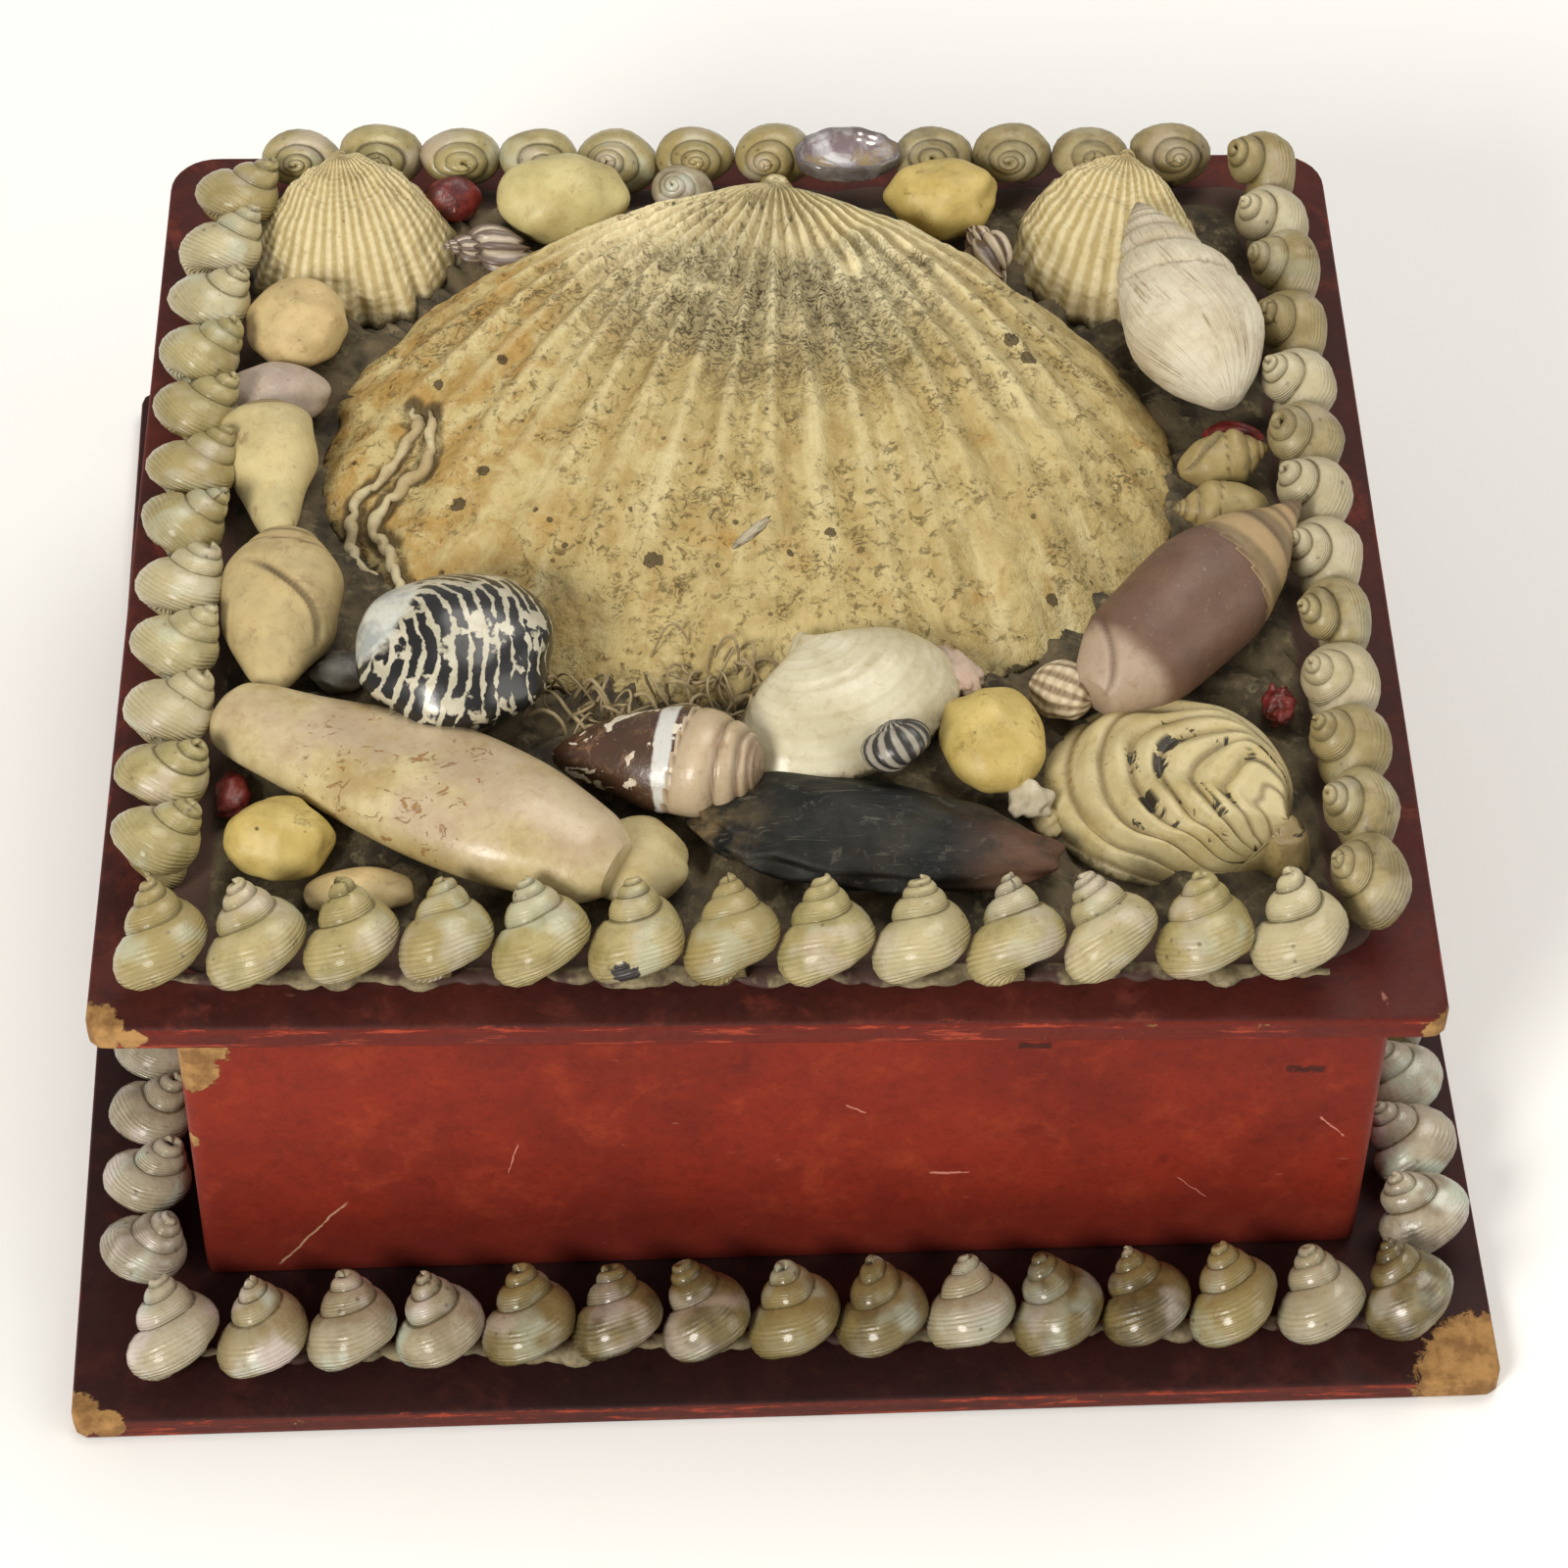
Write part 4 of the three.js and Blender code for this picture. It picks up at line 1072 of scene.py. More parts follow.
def make_border(node, material):
    """A row of top shells along the node's box, each stretched to the row's pitch, depth and height."""
    count, heading, elevation, seed, low_shift, high_shift = ROWS[node]
    low, high = box_corners(node)
    low, high = low + np.array(low_shift) * MM, high + np.array(high_shift) * MM
    on_lid = node.startswith("lid")
    turn = math.radians(LID_TURN_DEG) if on_lid else 0.0
    row_turn = np.array(Matrix.Rotation(turn, 3, "Z"))
    size = high - low
    along_y = int(size[1] > size[0])
    length = size[along_y]
    depth = size[1 - along_y] - length * abs(math.sin(turn))
    pitch = length / (count + 0.06)
    for k in range(count):
        rng = np.random.default_rng(seed + 1000 + k)
        form = top_shell(seed + k, heading - (0 if on_lid else LID_TURN_DEG), elevation).turned(row_turn.T)
        want = np.array([pitch, depth * 0.99, size[2]])
        if along_y:
            want = want[[1, 0, 2]]
        want = want * rng.uniform((0.95, 0.93, 0.92), (1.0, 1.0, 1.0))
        want[along_y] = pitch * rng.uniform(1.0, 1.08)
        form.sized(*want / MM).turned(row_turn)
        along = np.zeros(3)
        along[along_y] = pitch * (k - (count - 1) / 2)
        centre = (low + high) / 2 + row_turn @ along
        centre[2] = low[2] + want[2] / 2
        centre[0] += TUCKED.get(node, 0) * MM * max(0.0, (k - count + 4) / 3) ** 2
        replaced = (node,) if k == 0 else ()
        name = f"{node}_shell_{k + 1:02d}"
        make_piece(name, form.moved(centre).with_foot(), material, "top_shell", *replaced)


def repaint(row, number, material):
    bpy.data.objects[f"{row}_shell_{number:02d}"].data.materials[0] = material


def broken_shell_paint(row, number):
    """A nacre for one border shell, with a hole in its front, just above the middle, painted as a dark patch
    of shade.
    """
    mesh = bpy.data.objects[f"{row}_shell_{number:02d}"].data
    points = np.array([vertex.co for vertex in mesh.vertices])
    share = (points - points.min(0)) / (points.max(0) - points.min(0))
    around = points[(abs(share[:, 0] - 0.45) < 0.08) & (abs(share[:, 2] - 0.56) < 0.06)]
    front = tuple(around[np.argmin(around[:, 1])].tolist())
    clean, shade = (0.42, 0.35, 0.165), (0.29, 0.24, 0.095)
    return paint_top_shell("broken_top_shell_nacre", clean, shade, 0.4, hole=front)


# ---------------------------------------------------------------- the shells on the lid

def make_shell(node, form, material, slot, stretch=True):
    """The one shell that stands for a CAD node, stretched to its box or laid in it."""
    form = form.in_box(node) if stretch else form.laid_in(node)
    return make_piece(node + "_shell", form.with_foot(), material, slot, node)


def make_side_shell(node, form, heading, tilt, size, material, slot, roll=0.0):
    """A form that stands along +Z, laid on its side: apex towards heading, lifted by tilt, its size in mm."""
    form.turned(aim(-LID_TURN_DEG, 0, roll)).sized(*size)
    form.turned(Matrix.Rotation(math.radians(-tilt), 3, "Y")).turned(flat_turn(heading))
    return make_shell(node, form, material, slot, stretch=False)


def make_scallop(paints):
    """The large scallop, with a shallow furrow beside the worm tubes that wind over it."""
    form = valve(
        105, 125, 19, half_share=0.462, umbo_lift=0.42, beak=0.035, crown=0.42, columns=320, rows=205,
        seed=21, ribs=23, rib_depth=1.0, rib_fade=0.6, lumps=0.55, lump_size=0.14, grit=0.14, frill=0.016,
    )
    form.turned(flat_turn(-95)).in_box("scallop")
    floor = form.low_high()[0][2]
    near = np.inf
    for points, seed in WORM_TUBES.values():
        line = curve_through(points, 45, seed, 0.5)
        off = form.rings[..., None, :2] - line
        near = np.minimum(near, np.sqrt((off**2).sum(-1)).min(-1))
    furrow = bell(near, 1.9 * MM)
    form.rings[..., 2] = np.maximum(form.rings[..., 2] - 0.7 * MM * furrow, floor)
    form.mark("furrow", furrow)
    make_worm_tubes(make_shell("scallop", form, paints["scallop"], "cream_shell"), paints)


def make_valves(paints):
    cockle = dict(
        half_share=0.488, umbo_lift=0.86, crown=0.28, beak=0.08, columns=160, rows=60, rib_depth=0.2,
        ridges=5, lumps=0.5, grit=0.12, frill=0.03, frill_to=(1.2, 1.0), broad=0.30,
    )
    left = valve(29, 33, 13, seed=22, ribs=29, ridge_depth=0.35, **cockle)
    right = valve(31, 31, 12.5, seed=23, ribs=22, ridge_depth=0.25, **cockle)
    venus = valve(
        36.5, 34.5, 14, half_share=0.47, umbo_lift=0.78, beak=0.1, crown=0.3, columns=130, rows=120, seed=24,
        ridges=8, ridge_depth=1.6, lumps=1.1, lump_size=0.3, wander=1.3,
    )
    tellin = valve(
        25, 38, 7.5, half_share=0.485, umbo_lift=0.7, beak=0.08, crown=0.5, columns=110, rows=50, seed=25,
        ridges=2, ridge_depth=0.28, wander=0.25,
    )
    for node, form, heading, paint, slot in (
        ("left_cockle", left, -79, "cockle", "cream_shell"),
        ("right_cockle", right, -106, "cockle", "cream_shell"),
        ("venus_clam", venus, 139, "venus", "cream_shell"),
        ("white_tellin", tellin, -56, "white", "white_shell"),
    ):
        make_shell(node, form.turned(flat_turn(heading)), paints[paint], slot)
    mussel = egg(stretch=-0.22, rows=80, sides=64, lumps=0.05, lump_size=0.6, seed=26).sized(51, 19, 10)
    make_shell("black_mussel", mussel.turned(flat_turn(-10)), paints["mussel"], "slate_shell", stretch=False)
    make_shell("pearl_limpet", dish().turned(flat_turn(3)), paints["pearl"], "lilac_shell")


def make_coils(paints):
    """The whelk, the nerite and the small coiled shells."""
    whelk = whorled(
        [(0, 0.01), (0.1, 0.075), (0.3, 0.165), (0.45, 0.225), (0.65, 0.25), (0.83, 0.19), (0.95, 0.1),
         (1, 0.05)],
        growth=1.62, groove=0.13, last=0.36, rows=130, sides=100, bulge=0.11, lumps=0.03, seed=31, ribs=30,
        rib_depth=0.013, rib_slant=1.3,
    )
    make_side_shell("white_whelk", whelk, 104, 4, (42, 21, 16), paints["whelk"], "white_shell")
    nerite = egg(stretch=0.14, rows=70, sides=90, lumps=0.03, seed=32)
    nerite.turned(Matrix.Rotation(math.radians(24), 3, "Y")).turned(flat_turn(-18))
    make_shell("zebra_nerite", nerite, paints["zebra"], "zebra_shell")
    drill = dict(
        turns=4.2, growth=1.9, reach=3.0, drop=16, wide=4.2, tall=6.4, shoulder=0.2, steps=64, sides=22,
    )
    left, right = coil(ribs=9.4, rib_depth=0.2, **drill), coil(ribs=8.6, rib_depth=0.16, **drill)
    make_side_shell("left_drill", left, 185, 8, (14.5, 9, 7), paints["drill"], "brown_shell", 10)
    make_side_shell("right_drill", right, 115, 8, (14, 8.5, 7.5), paints["brown_drill"], "brown_shell", 10)
    turban = coil(
        turns=3.6, growth=1.7, reach=3.2, drop=8.5, wide=3.2, tall=4.2, shoulder=-0.25, steps=40, sides=20
    )
    turban.mark("tint", 0.6).turned(aim(-110, 60))
    make_shell("small_turban", turban, paints["base_pearl"], "top_shell")
    periwinkle = coil(
        turns=3.4, growth=2.2, reach=3.0, drop=6.0, wide=4.0, tall=4.5, steps=60, sides=20, ribs=14,
        rib_depth=0.05,
    )
    make_shell("dark_periwinkle", periwinkle.turned(aim(120, 40)), paints["periwinkle"], "slate_shell")


def make_spindles(paints):
    """The long shells; each profile lists (share of the length from the apex, radius)."""
    olive = whorled(
        [(0, 0.0), (0.12, 0.072), (0.28, 0.165), (0.5, 0.225), (0.78, 0.205), (0.93, 0.14), (1, 0.08)],
        growth=1.75, groove=0.035, last=0.28, rows=110, sides=80, lumps=0.02, seed=41,
        fold=(0.80, 4.1, 1.0, 2.5, 0.10),
    )
    cone = whorled(
        [(0, 0.06), (0.05, 0.15), (0.16, 0.235), (0.3, 0.28), (0.6, 0.225), (0.9, 0.11), (1, 0.04)],
        growth=2.1, groove=0.07, last=0.24, rows=90, sides=72, bulge=0.05, lumps=0.05, seed=42,
    )
    pear = whorled(
        [(0, 0.05), (0.05, 0.18), (0.2, 0.29), (0.45, 0.27), (0.75, 0.17), (1, 0.09)],
        growth=1.6, groove=0.05, last=0.1, lumps=0.05, seed=43,
    )
    conch = whorled(
        [(0, 0.04), (0.1, 0.17), (0.35, 0.28), (0.58, 0.27), (0.82, 0.16), (1, 0.03)],
        growth=1.9, groove=0.05, last=0.14, rows=100, sides=80, lumps=0.05, seed=44, bulge=0.02,
        fold=(0.34, 3.6, 0.72, 1.9, 0.20),
    )
    horn = whorled(
        [(0, 0.06), (0.03, 0.105), (0.16, 0.14), (0.42, 0.175), (0.72, 0.185), (0.93, 0.14), (1, 0.08)],
        growth=1.5, groove=0.02, last=0.05, rows=110, sides=72, lumps=0.13, seed=45, lean=0.06,
    )
    for node, form, heading, tilt, size, paint, slot, *roll in (
        ("large_olive", olive, 47, 6, (46, 19, 17), "olive", "mauve_shell"),
        ("mottled_cone", cone, -11, 8, (29, 16.5, 14.5), "cone", "brown_shell"),
        ("pear_cone", pear, 97, 6, (24, 14, 11.5), "pear", "cream_shell"),
        ("pointed_conch", conch, 88, 3, (30, 17, 13.5), "conch", "cream_shell"),
        ("long_horn", horn, 151.5, 0, (61.5, 22, 13.5), "horn", "cream_shell", 60),
    ):
        make_side_shell(node, form, heading, tilt, size, paints[paint], slot, *roll)
    twin = dict(
        profile=[(0, 0.0), (0.15, 0.12), (0.4, 0.27), (0.7, 0.26), (0.9, 0.16), (1, 0.06)],
        growth=1.9, groove=0.10, last=0.35, rows=60, sides=50, lumps=0.07,
    )
    upper = whorled(bulge=0.06, seed=46, fold=(0.45, 3.9, 0.95, 2.3, 0.22), **twin)
    lower = whorled(bulge=0.05, seed=47, **twin)
    make_shell("upper_twin", upper.turned(aim(14, 6)), paints["twin"], "cream_shell")
    make_shell("lower_twin", lower.turned(aim(188, 6)), paints["twin"], "cream_shell")


def make_eggs(paints):
    eggs = {
        "cowrie_back_left": ("yellow", "yellow_shell", 8, dict(stretch=-0.05, seed=51)),
        "cowrie_back_right": ("amber", "yellow_shell", -12, dict(stretch=0.1, seed=52, lumps=0.07)),
        "cowrie_left": ("peach", "yellow_shell", 80, dict(stretch=-0.1, seed=53, lumps=0.03)),
        "cowrie_front_left": ("amber", "yellow_shell", 10, dict(stretch=0.05, seed=54, lumps=0.06)),
        "cowrie_front_right": ("amber", "yellow_shell", 60, dict(stretch=0.05, seed=55, lumps=0.05)),
        "lilac_shell": ("lilac", "lilac_shell", 12, dict(seed=56, lumps=0.03)),
        "horn_under": ("horn_egg", "cream_shell", 48, dict(seed=57)),
        "flat_pebble": ("peach", "cream_shell", -8, dict(seed=58)),
        "tooth_shell": ("chalk", "white_shell", 50, dict(stretch=0.6, seed=59, lumps=0.14, lump_size=0.8)),
        "slate_chip": ("slate", "slate_shell", 35, dict(seed=60, lumps=0.06)),
        "ribbed_button": ("button", "white_shell", 150, dict(seed=61, ridges=11, ridge_depth=0.07)),
        "red_seed_front": ("seed", "red_seed", 110, dict(seed=62, lumps=0.08)),
        "red_seed_right": ("seed", "red_seed", 80, dict(seed=63, lumps=0.16, lump_size=0.7)),
        "red_seed_under_whelk": ("seed", "red_seed", 15, dict(seed=64, lumps=0.1)),
        "red_bean_back": ("seed", "red_seed", -30, dict(seed=65, lumps=0.05)),
    }
    for node, (paint, slot, heading, shape) in eggs.items():
        make_shell(node, egg(**shape).turned(flat_turn(heading)), paints[paint], slot)


# The worm tubes on the scallop: where each runs, as (x, y) in mm from its back to its front, and a seed.
WORM_TUBES = {
    "worm_tube_outer": (
        [(-50.0, 20.5), (-50.2, 15), (-52.7, 11), (-57.3, 8), (-59.3, 2), (-58.5, -2), (-56, -6.7),
         (-55.6, -11.7)],
        71,
    ),
    "worm_tube_inner": (
        [(-47.9, 18.4), (-47.4, 11.6), (-49.8, 8.3), (-54.3, 5), (-56, 2), (-53.2, -4), (-51.8, -10),
         (-52.3, -17)],
        72,
    ),
}


def curve_through(points, count, seed, wander):
    """count points on a smooth curve through a few (x, y) points, in metres, with a little wandering."""
    points = np.array(points, float) * MM
    knots = np.arange(len(points))
    at = np.linspace(0, len(points) - 1, count)
    line = np.stack([smooth_between(knots, points[:, k], at) for k in (0, 1)], -1)
    start = line.copy()
    for k in (0, 1):
        offset = noise_field(np.column_stack([start, np.full(count, k * 0.01)]), 0.004, seed + k)
        line[:, k] += wander * MM * offset
    return line


def make_worm_tubes(scallop, paints):
    """Two old worm tubes that wind over the left of the scallop."""
    mesh = scallop.data
    tree = BVHTree.FromPolygons([v.co for v in mesh.vertices], [p.vertices for p in mesh.polygons])
    for name, (points, seed) in WORM_TUBES.items():
        path = []
        for x, y in curve_through(points, 90, seed, 0.5):
            hit = tree.ray_cast(Vector((x, y, 0.2)), Vector((0, 0, -1)))[0]
            if hit:
                path.append((x, y, hit.z + 0.3 * MM))
        path = np.array(path)
        form = tube(path, 0.85 * MM * (1 + 0.3 * noise_field(path, 0.004, seed + 5)), 12)
        make_piece(name, form.mark("foot", 5.0), paints["tube"], "cream_shell")


def make_weed(paints):
    """Dry weed: curled strands caught between the shells at the front of the scallop."""
    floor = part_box("lid_putty_bed")[1].z
    for name, (x, y), spread, count, seed in (
        ("weed_by_tellin", (-8.0, -32), (4.4, 8.0), 34, 73),
        ("weed_by_cone", (-24.5, -35.5), (5.6, 4.5), 26, 74),
    ):
        rng = np.random.default_rng(seed)
        strands = []
        for _ in range(count):
            start = np.array([x + rng.normal(0, spread[0] / 2), y + rng.normal(0, spread[1] / 2)])
            heading, bend = rng.uniform(0, 2 * np.pi), rng.normal(0, 0.35)
            height = rng.uniform(2.5, 9.0)
            path = []
            for k in range(22):
                heading += bend * 0.5 + rng.normal(0, 0.12)
                start = start + 0.42 * np.array([math.cos(heading), math.sin(heading)])
                lift = 0.4 + height * math.sin(math.pi * k / 21)
                path.append((start[0] * MM, start[1] * MM, floor + lift * MM))
            strands.append(tube(path, rng.uniform(0.17, 0.34) * MM, 5))
        make_piece(name, strands, paints["fibre"], "cream_shell")


def make_glue(paints):
    """Uneven beads of pale glue along the foot of the front rows."""
    for node, seed in (("lid_border_front", 75), ("base_border_front", 76)):
        low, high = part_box(node)
        turn = math.radians(LID_TURN_DEG) if node.startswith("lid") else 0.0
        run = np.linspace(-0.5, 0.5, 260) * (high.x - low.x - 4 * MM)
        line = np.column_stack([run, np.zeros(260), np.zeros(260)])
        wave = noise_field(line, 0.011, seed) + 0.5 * noise_field(line, 0.004, seed + 9)
        middle = (low + high) / 2
        depth = (high.y - low.y - (high.x - low.x) * abs(math.sin(turn))) / 2
        across = -depth + (3.9 if node.startswith("lid") else 5.6) * MM - 0.5 * MM * wave
        path = np.column_stack(
            [
                middle.x + run * math.cos(turn) - across * math.sin(turn),
                middle.y + run * math.sin(turn) + across * math.cos(turn),
                np.full(260, low.z + 0.3 * MM),
            ]
        )
        form = tube(path, 1.5 * MM, 10)
        centre = path[:, None]
        form.rings = centre + (form.rings - centre) * (1, 1, 0.5) * (1 + 0.25 * wave[:, None, None])
        form.rings[..., 2] = np.maximum(form.rings[..., 2], low.z - 0.03 * MM)
        make_piece(node + "_glue", form, paints["glue"], "putty")


def make_chips(paints):
    """Small broken bits: (x, y) and floor in mm above the bed, size in mm, heading, paint."""
    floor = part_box("lid_putty_bed")[1].z
    chips = {
        "pink_chip": ((25.6, -30.6), 3.0, (11, 5.5, 3.4), -62, "pink", 81),
        "white_splinter": ((-2.6, -15.2), 16.5, (8.5, 1.5, 1.6), 48, "chalk", 82),
        "chip_by_slate": ((-54, -24), 1.0, (7, 4.5, 3.2), 20, "slate", 83),
        "crumb_by_whelk": ((51, 12), 1.0, (5, 3.5, 2.5), 60, "chalk", 84),
        "crumb_front": ((-2, -52), 0.0, (5.5, 4, 3), 10, "horn_egg", 85),
        "crumb_by_venus": ((36, -56), 0.0, (6, 4.4, 3), 100, "horn_egg", 86),
    }
    for name, ((x, y), up, size, heading, paint, seed) in chips.items():
        form = egg(stretch=0.2, seed=seed, lumps=0.12, lump_size=0.8, rows=30, sides=36)
        form.sized(*size).turned(flat_turn(heading)).moved((x * MM, y * MM, floor + (up + size[2] / 2) * MM))
        make_piece(name, form.with_foot(), paints[paint], "cream_shell")


def make_paints():
    top_shells = {
        "top": ("top_shell_nacre", (0.42, 0.35, 0.165), (0.29, 0.24, 0.095), 0.40),
        # shaded_top: a darker copy of the nacre for the lid's right-hand rows, painted shade
        "shaded_top": ("shaded_top_shell_nacre", (0.34, 0.275, 0.135), (0.19, 0.145, 0.06), 0.2, 0.34, 0.05),
        "base_top": ("base_top_shell_nacre", (0.19, 0.145, 0.055), (0.080, 0.058, 0.021), 0.40, 0.16, 0.5),
        "base_pearl": ("pearly_top_shell", (0.42, 0.37, 0.28), (0.25, 0.205, 0.145), 0.85, 0.12),
    }
    coils = {
        "drill": ("drill_shell", (0.50, 0.42, 0.33), (0.15, 0.105, 0.08), 9.4),
        "brown_drill": ("brown_drill_shell", (0.52, 0.43, 0.31), (0.10, 0.058, 0.032), 8.6),
        "periwinkle": ("periwinkle_shell", (0.30, 0.27, 0.22), (0.03, 0.028, 0.025), 14.0),
    }
    smooth = {
        "horn_egg": ("under_shell", (0.48, 0.40, 0.20), (0.40, 0.32, 0.15), (0.3, 0.2, 0.08)),
        "yellow": ("pale_yellow_shell", (0.57, 0.49, 0.23), (0.46, 0.39, 0.165), (0.3, 0.22, 0.07), 0.6, 0.34),
        "amber": ("yellow_shell", (0.56, 0.43, 0.145), (0.44, 0.33, 0.095), (0.2, 0.13, 0.03), 0.7, 0.36, 0.9),
        "peach": ("peach_shell", (0.60, 0.45, 0.22), (0.50, 0.385, 0.185), (0.34, 0.23, 0.09), 0.7, 0.45),
        "lilac": ("lilac_pebble", (0.45, 0.37, 0.30), (0.36, 0.28, 0.23), (0.55, 0.50, 0.42), 0.7, 0.5),
        "chalk": ("chalk_shell", (0.55, 0.50, 0.38), (0.35, 0.30, 0.2), (0.05, 0.045, 0.03), 0.9, 0.5, 0.9),
        "slate": ("slate_shell", (0.14, 0.135, 0.11), (0.05, 0.05, 0.045), (0.35, 0.32, 0.25), 0.5, 0.3),
        "tube": ("worm_tube", (0.55, 0.48, 0.30), (0.40, 0.31, 0.16), (0.16, 0.11, 0.05), 0.7, 0.6),
        "pink": ("pink_chip", (0.52, 0.40, 0.33), (0.44, 0.31, 0.24), (0.40, 0.32, 0.18), 0.5, 0.4),
    }
    olive = dict(
        lip=(0.82, (0.4, 0.3, 0.22)), gloss=0.42, stripe=0.75, stripe_of=("down", 40.0), coat=0.0, stain=0.15,
    )
    cone = dict(band=(0.38, 0.48, (0.55, 0.55, 0.52)), mottle=(0.66, 0.60, 0.50), gloss=0.26, stain=0.6)
    pear, conch, twin = (
        dict(gloss=gloss, coat=coat, stain=stain)
        for gloss, coat, stain in ((0.45, 0.0, 0.75), (0.48, 0.0, 0.7), (0.42, 0.05, 0.6))
    )
    spindles = {
        "olive": ((0.150, 0.080, 0.052), (0.40, 0.28, 0.14), (0.10, 0.055, 0.025), olive),
        "cone": ((0.070, 0.033, 0.019), (0.50, 0.39, 0.26), (0.13, 0.075, 0.04), cone),
        "pear": ((0.57, 0.48, 0.24), (0.36, 0.28, 0.14), (0.12, 0.08, 0.035), pear),
        "conch": ((0.50, 0.39, 0.19), (0.46, 0.35, 0.17), (0.13, 0.085, 0.04), conch),
        "twin": ((0.36, 0.28, 0.115), (0.33, 0.25, 0.10), (0.085, 0.06, 0.025), twin),
    }
    return {
        **{key: paint_top_shell(*tones) for key, tones in top_shells.items()},
        **{key: paint_coil_ribs(*tones) for key, tones in coils.items()},
        **{key: paint_smooth_shell(*tones) for key, tones in smooth.items()},
        **{key: paint_whorled(key + "_shell", *tones, **more) for key, (*tones, more) in spindles.items()},
        "scallop": paint_scallop(),
        "cockle": paint_cockle(),
        "venus": paint_venus(),
        "white": paint_white_valve(),
        "mussel": paint_mussel(),
        "pearl": paint_pearl(),
        "whelk": paint_whelk(),
        "zebra": paint_zebra(),
        "horn": paint_horn(),
        "button": paint_button(),
        "seed": paint_seed(),
        "fibre": paint_fibre(),
        "glue": paint_glue(),
    }


def paint_venus():
    """Cream with strong growth ridges, brown dirt towards its margin and holes worn through, painted dark as
    shade.
    """
    p = Paint("venus_shell")
    ring, share = p.value("ring"), p.value("share")
    p.colour = p.mix(p.between(ring, 0.0, 0.62), (0.235, 0.175, 0.078), (0.51, 0.43, 0.23))
    p.lay((0.42, 0.33, 0.13), 0.6 * p.blots(160, 5, 0.65, 0.5, 0.66))
    worn = p.between(share, 0.2, 0.35) * p.between(share, 0.72, 0.6)
    # holes: dark patches in the grooves, painted shade inside them
    hole = p.between(p.noise(150, 4, 0.65, bend=0.8) + 0.09 * worn, 0.62, 0.66) * p.between(ring, 0.85, 0.5)
    p.lay((0.03, 0.022, 0.012), hole)
    p.lay((0.22, 0.12, 0.03), 0.8 * (p.blots(700, 4, 0.7, 0.6, 0.7) * p.between(share, 0.6, 0.95)))
    p.foot_shade_and_stains(1.6)
    return p.finish(0.45, p.noise(400, 5, 0.65) + -1.5 * hole, 0.3, 0.8)


def paint_white_valve():
    """A thin white valve with soft growth lines."""
    p = Paint("white_valve")
    cloud = p.noise(120, 4, 0.55)
    lines = p.math("SINE", 70.0 * (p.value("share") + 0.05 * cloud))
    p.colour = p.mix(p.between(cloud, 0.35, 0.65), (0.63, 0.585, 0.43), (0.5, 0.45, 0.3))
    p.lay((0.42, 0.35, 0.2), 0.22 * p.between(lines, 0.3, 1.0))
    p.foot_shade_and_stains(0.9)
    return p.finish(0.34, 0.35 * lines + p.noise(700, 3, 0.6), 0.08, 0.7, coat=(0.15, 0.2))


def paint_whelk():
    """Chalky cream-white, with broken brown growth lines that slant across the whorls."""
    p = Paint("whelk_shell")
    down = p.value("down")
    slant = 14.0 * p.value("turn") + 18.0 * down
    lines = p.noise(1.0, 4, 0.65, p.joined(slant, 3.0 * down))
    p.colour = p.mix(p.blots(170, 5, 0.6, 0.35, 0.65), (0.66, 0.6, 0.46), (0.55, 0.48, 0.355))
    p.lay((0.26, 0.18, 0.09), 0.75 * (p.between(lines, 0.55, 0.63) * p.blots(240, 4, 0.6, 0.4, 0.58)))
    p.lay((0.25, 0.18, 0.1), 0.55 * p.value("suture"))
    p.foot_shade_and_stains(1.4)
    return p.finish(0.55, 1.5 * lines + 0.5 * p.noise(900, 4, 0.7), 0.3, 0.9)


def paint_coil_ribs(name, ridge, groove, ribs):
    """A small coiled shell, pale on its ribs and dark between them."""
    p = Paint(name)
    cloud = p.noise(500, 4, 0.6)
    wave = p.math("COSINE", ribs * p.value("theta")) + 1.2 * (cloud - 0.5)
    p.colour = p.mix(p.between(wave, -0.3, 0.7), groove, ridge)
    p.lay(groove, 0.7 * p.value("suture"))
    p.foot_shade_and_stains(1.2)
    return p.finish(0.4, cloud, 0.12, 0.8, coat=(0.15, 0.2))


def paint_button():
    """Cream ribs over brown grooves, crossed by fine darker rings."""
    p = Paint("button_shell")
    rings = p.math("SINE", 22.0 * p.value("along"))
    p.colour = p.mix(p.between(p.value("rib"), -0.8, 0.6), (0.26, 0.19, 0.11), (0.62, 0.52, 0.36))
    p.lay((0.34, 0.24, 0.14), 0.35 * p.between(rings, 0.3, 0.9))
    p.foot_shade_and_stains(1.0)
    return p.finish(0.5, 0.8 * rings + p.noise(500, 4, 0.6), 0.2, 0.8)


# ---------------------------------------------------------------- floor, light, camera


def make_stage():
    mesh = bpy.data.meshes.new("floor")
    mesh.from_pydata([(-4, -4, 0), (4, -4, 0), (4, 4, 0), (-4, 4, 0)], [], [(0, 1, 2, 3)])
    floor = bpy.data.objects.new("floor", mesh)
    paint = bpy.data.materials.new("floor_paint")
    paint.use_nodes = True
    shader = paint.node_tree.nodes["Principled BSDF"]
    shader.inputs["Base Color"].default_value = (0.9, 0.9, 0.9, 1)
    shader.inputs["Roughness"].default_value = 0.9
    mesh.materials.append(paint)
    bpy.context.scene.collection.objects.link(floor)


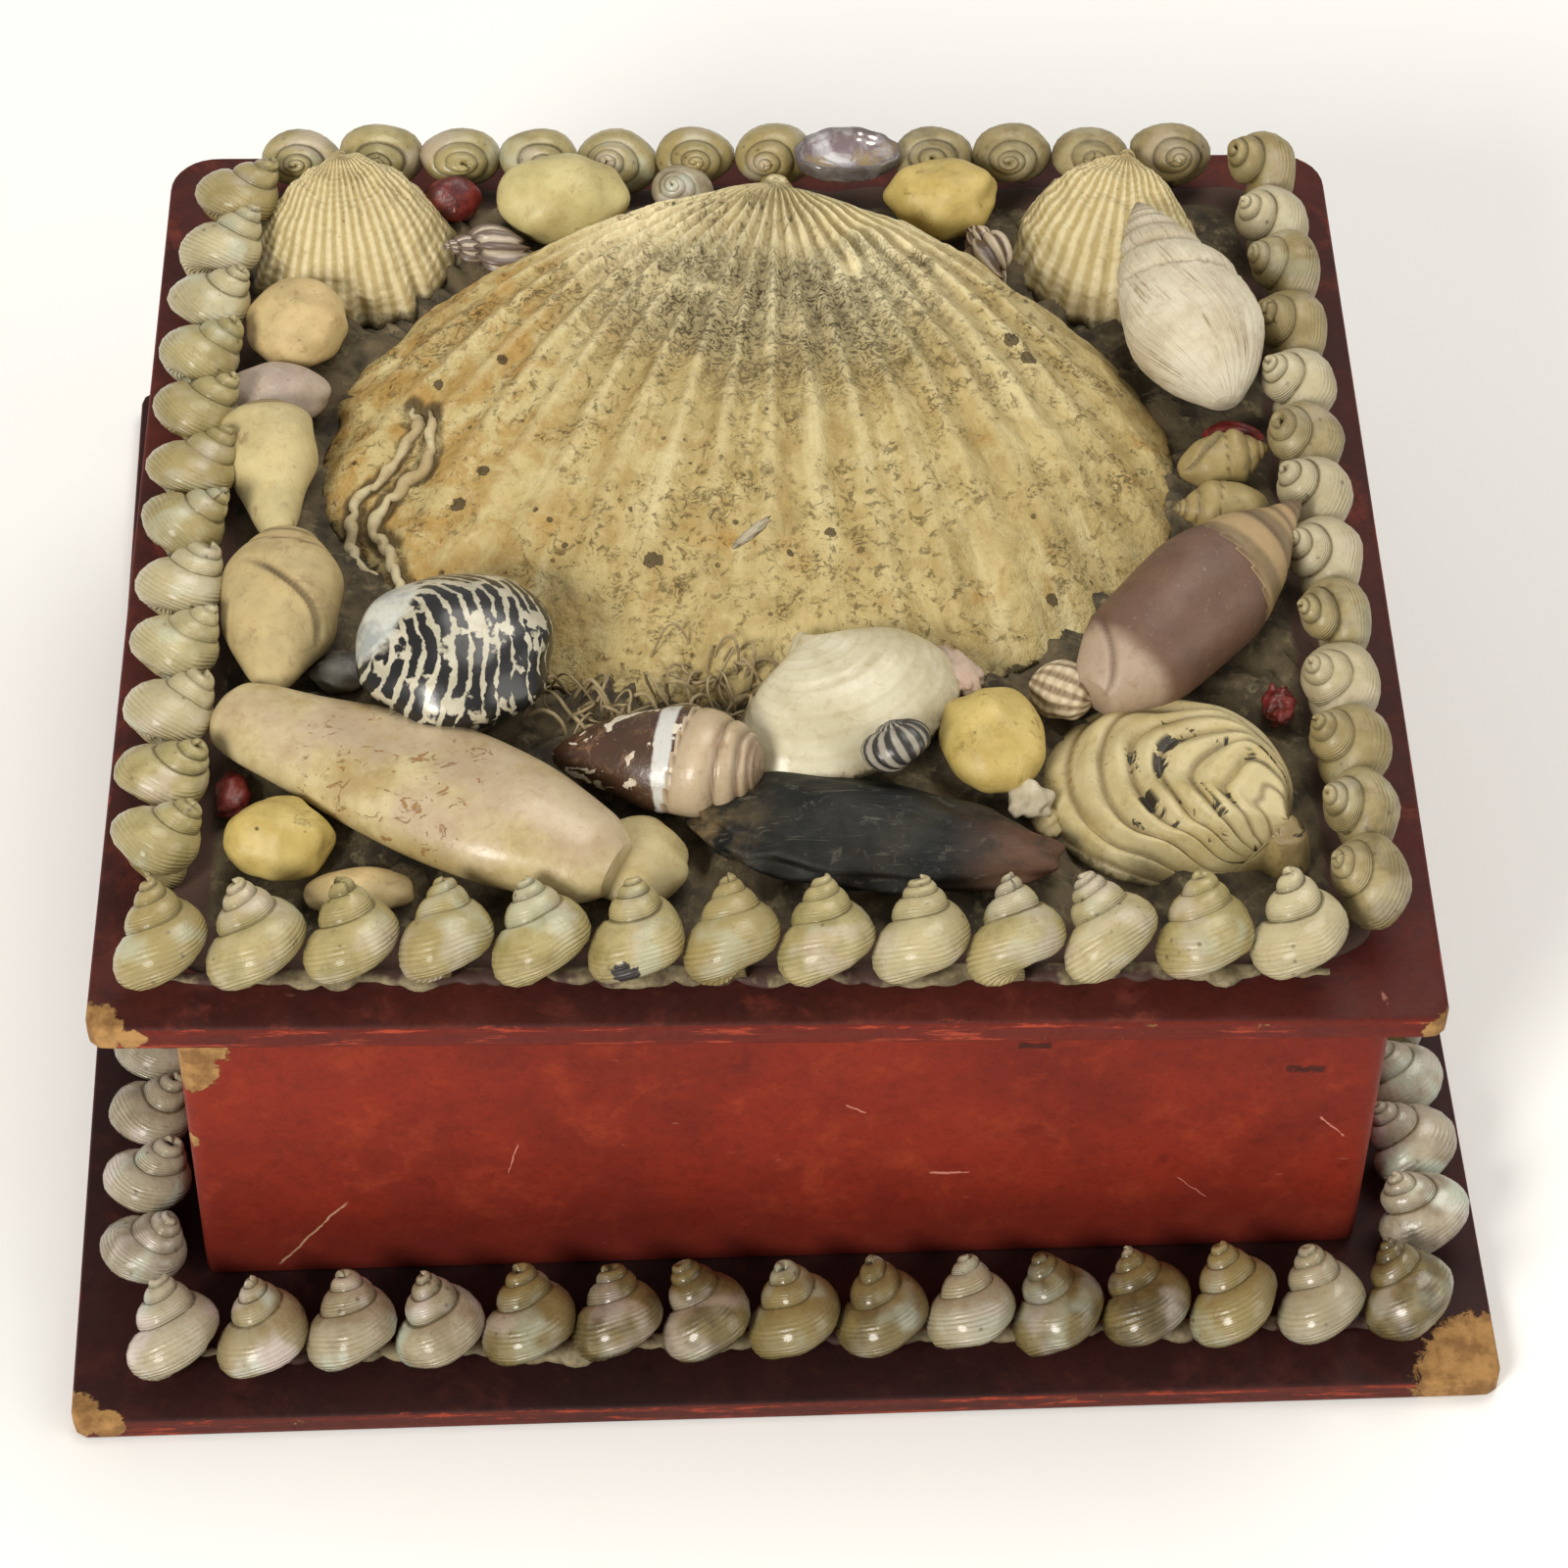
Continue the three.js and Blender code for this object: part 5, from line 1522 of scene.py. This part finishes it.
def make_light(name, place, size, power):
    """A round lamp, aimed at the middle of the box."""
    data = bpy.data.lights.new(name, "AREA")
    data.shape = "DISK"
    data.size = size
    data.energy = power
    data.color = (1.0, 0.965, 0.89)
    lamp = bpy.data.objects.new(name, data)
    lamp.location = place
    lamp.rotation_euler = (Vector((0, 0, 0.04)) - Vector(place)).to_track_quat("-Z", "Y").to_euler()
    bpy.context.scene.collection.objects.link(lamp)


def make_lights():
    make_light("key", (-0.75, -1.0, 0.8), 0.5, 17.0)
    make_light("top", (0.3, 0.5, 1.3), 0.9, 9.0)
    make_light("fill", (1.1, -0.5, 0.7), 0.9, 5.0)
    world = bpy.data.worlds.new("studio")
    world.use_nodes = True
    world.node_tree.nodes["Background"].inputs["Color"].default_value = (1.0, 0.98, 0.94, 1)
    world.node_tree.nodes["Background"].inputs["Strength"].default_value = 0.38
    bpy.context.scene.world = world


def make_camera():
    azimuth, elevation = (math.radians(CAMERA[key]) for key in ("azimuth", "elevation"))
    level = math.cos(elevation)
    back = Vector((math.sin(azimuth) * level, -math.cos(azimuth) * level, math.sin(elevation)))
    right = (-back).cross(Vector((0, 0, 1))).normalized()
    up = right.cross(-back)
    roll = math.radians(CAMERA["roll"])
    camera_x = right * math.cos(roll) + up * math.sin(roll)
    camera_y = up * math.cos(roll) - right * math.sin(roll)
    data = bpy.data.cameras.new("camera")
    data.lens = CAMERA["lens"]
    data.sensor_width = 36
    camera = bpy.data.objects.new("camera", data)
    turn = Matrix((camera_x, camera_y, back)).transposed().to_4x4()
    camera.matrix_world = Matrix.Translation(Vector(CAMERA["target"]) + back * CAMERA["distance"]) @ turn
    bpy.context.scene.collection.objects.link(camera)
    bpy.context.scene.camera = camera


# ---------------------------------------------------------------- assembly

make_camera()
make_stage()
make_lights()
bpy.context.scene.view_settings.view_transform = "Standard"

paints = make_paints()
make_base()
make_tray()
make_lid()
make_bed()
for row in ROWS:
    # the lid's right-hand rows take the darker, painted-shade copy of the nacre
    nacre = "base_top" if row.startswith("base") else "shaded_top" if "right" in row else "top"
    make_border(row, paints[nacre])
for row, count in PEARLY.items():
    for number in range(1, count + 1):
        repaint(row, number, paints["base_pearl"])
repaint("lid_border_front", 6, broken_shell_paint("lid_border_front", 6))
make_scallop(paints)
make_valves(paints)
make_coils(paints)
make_spindles(paints)
make_eggs(paints)
make_weed(paints)
make_glue(paints)
make_chips(paints)
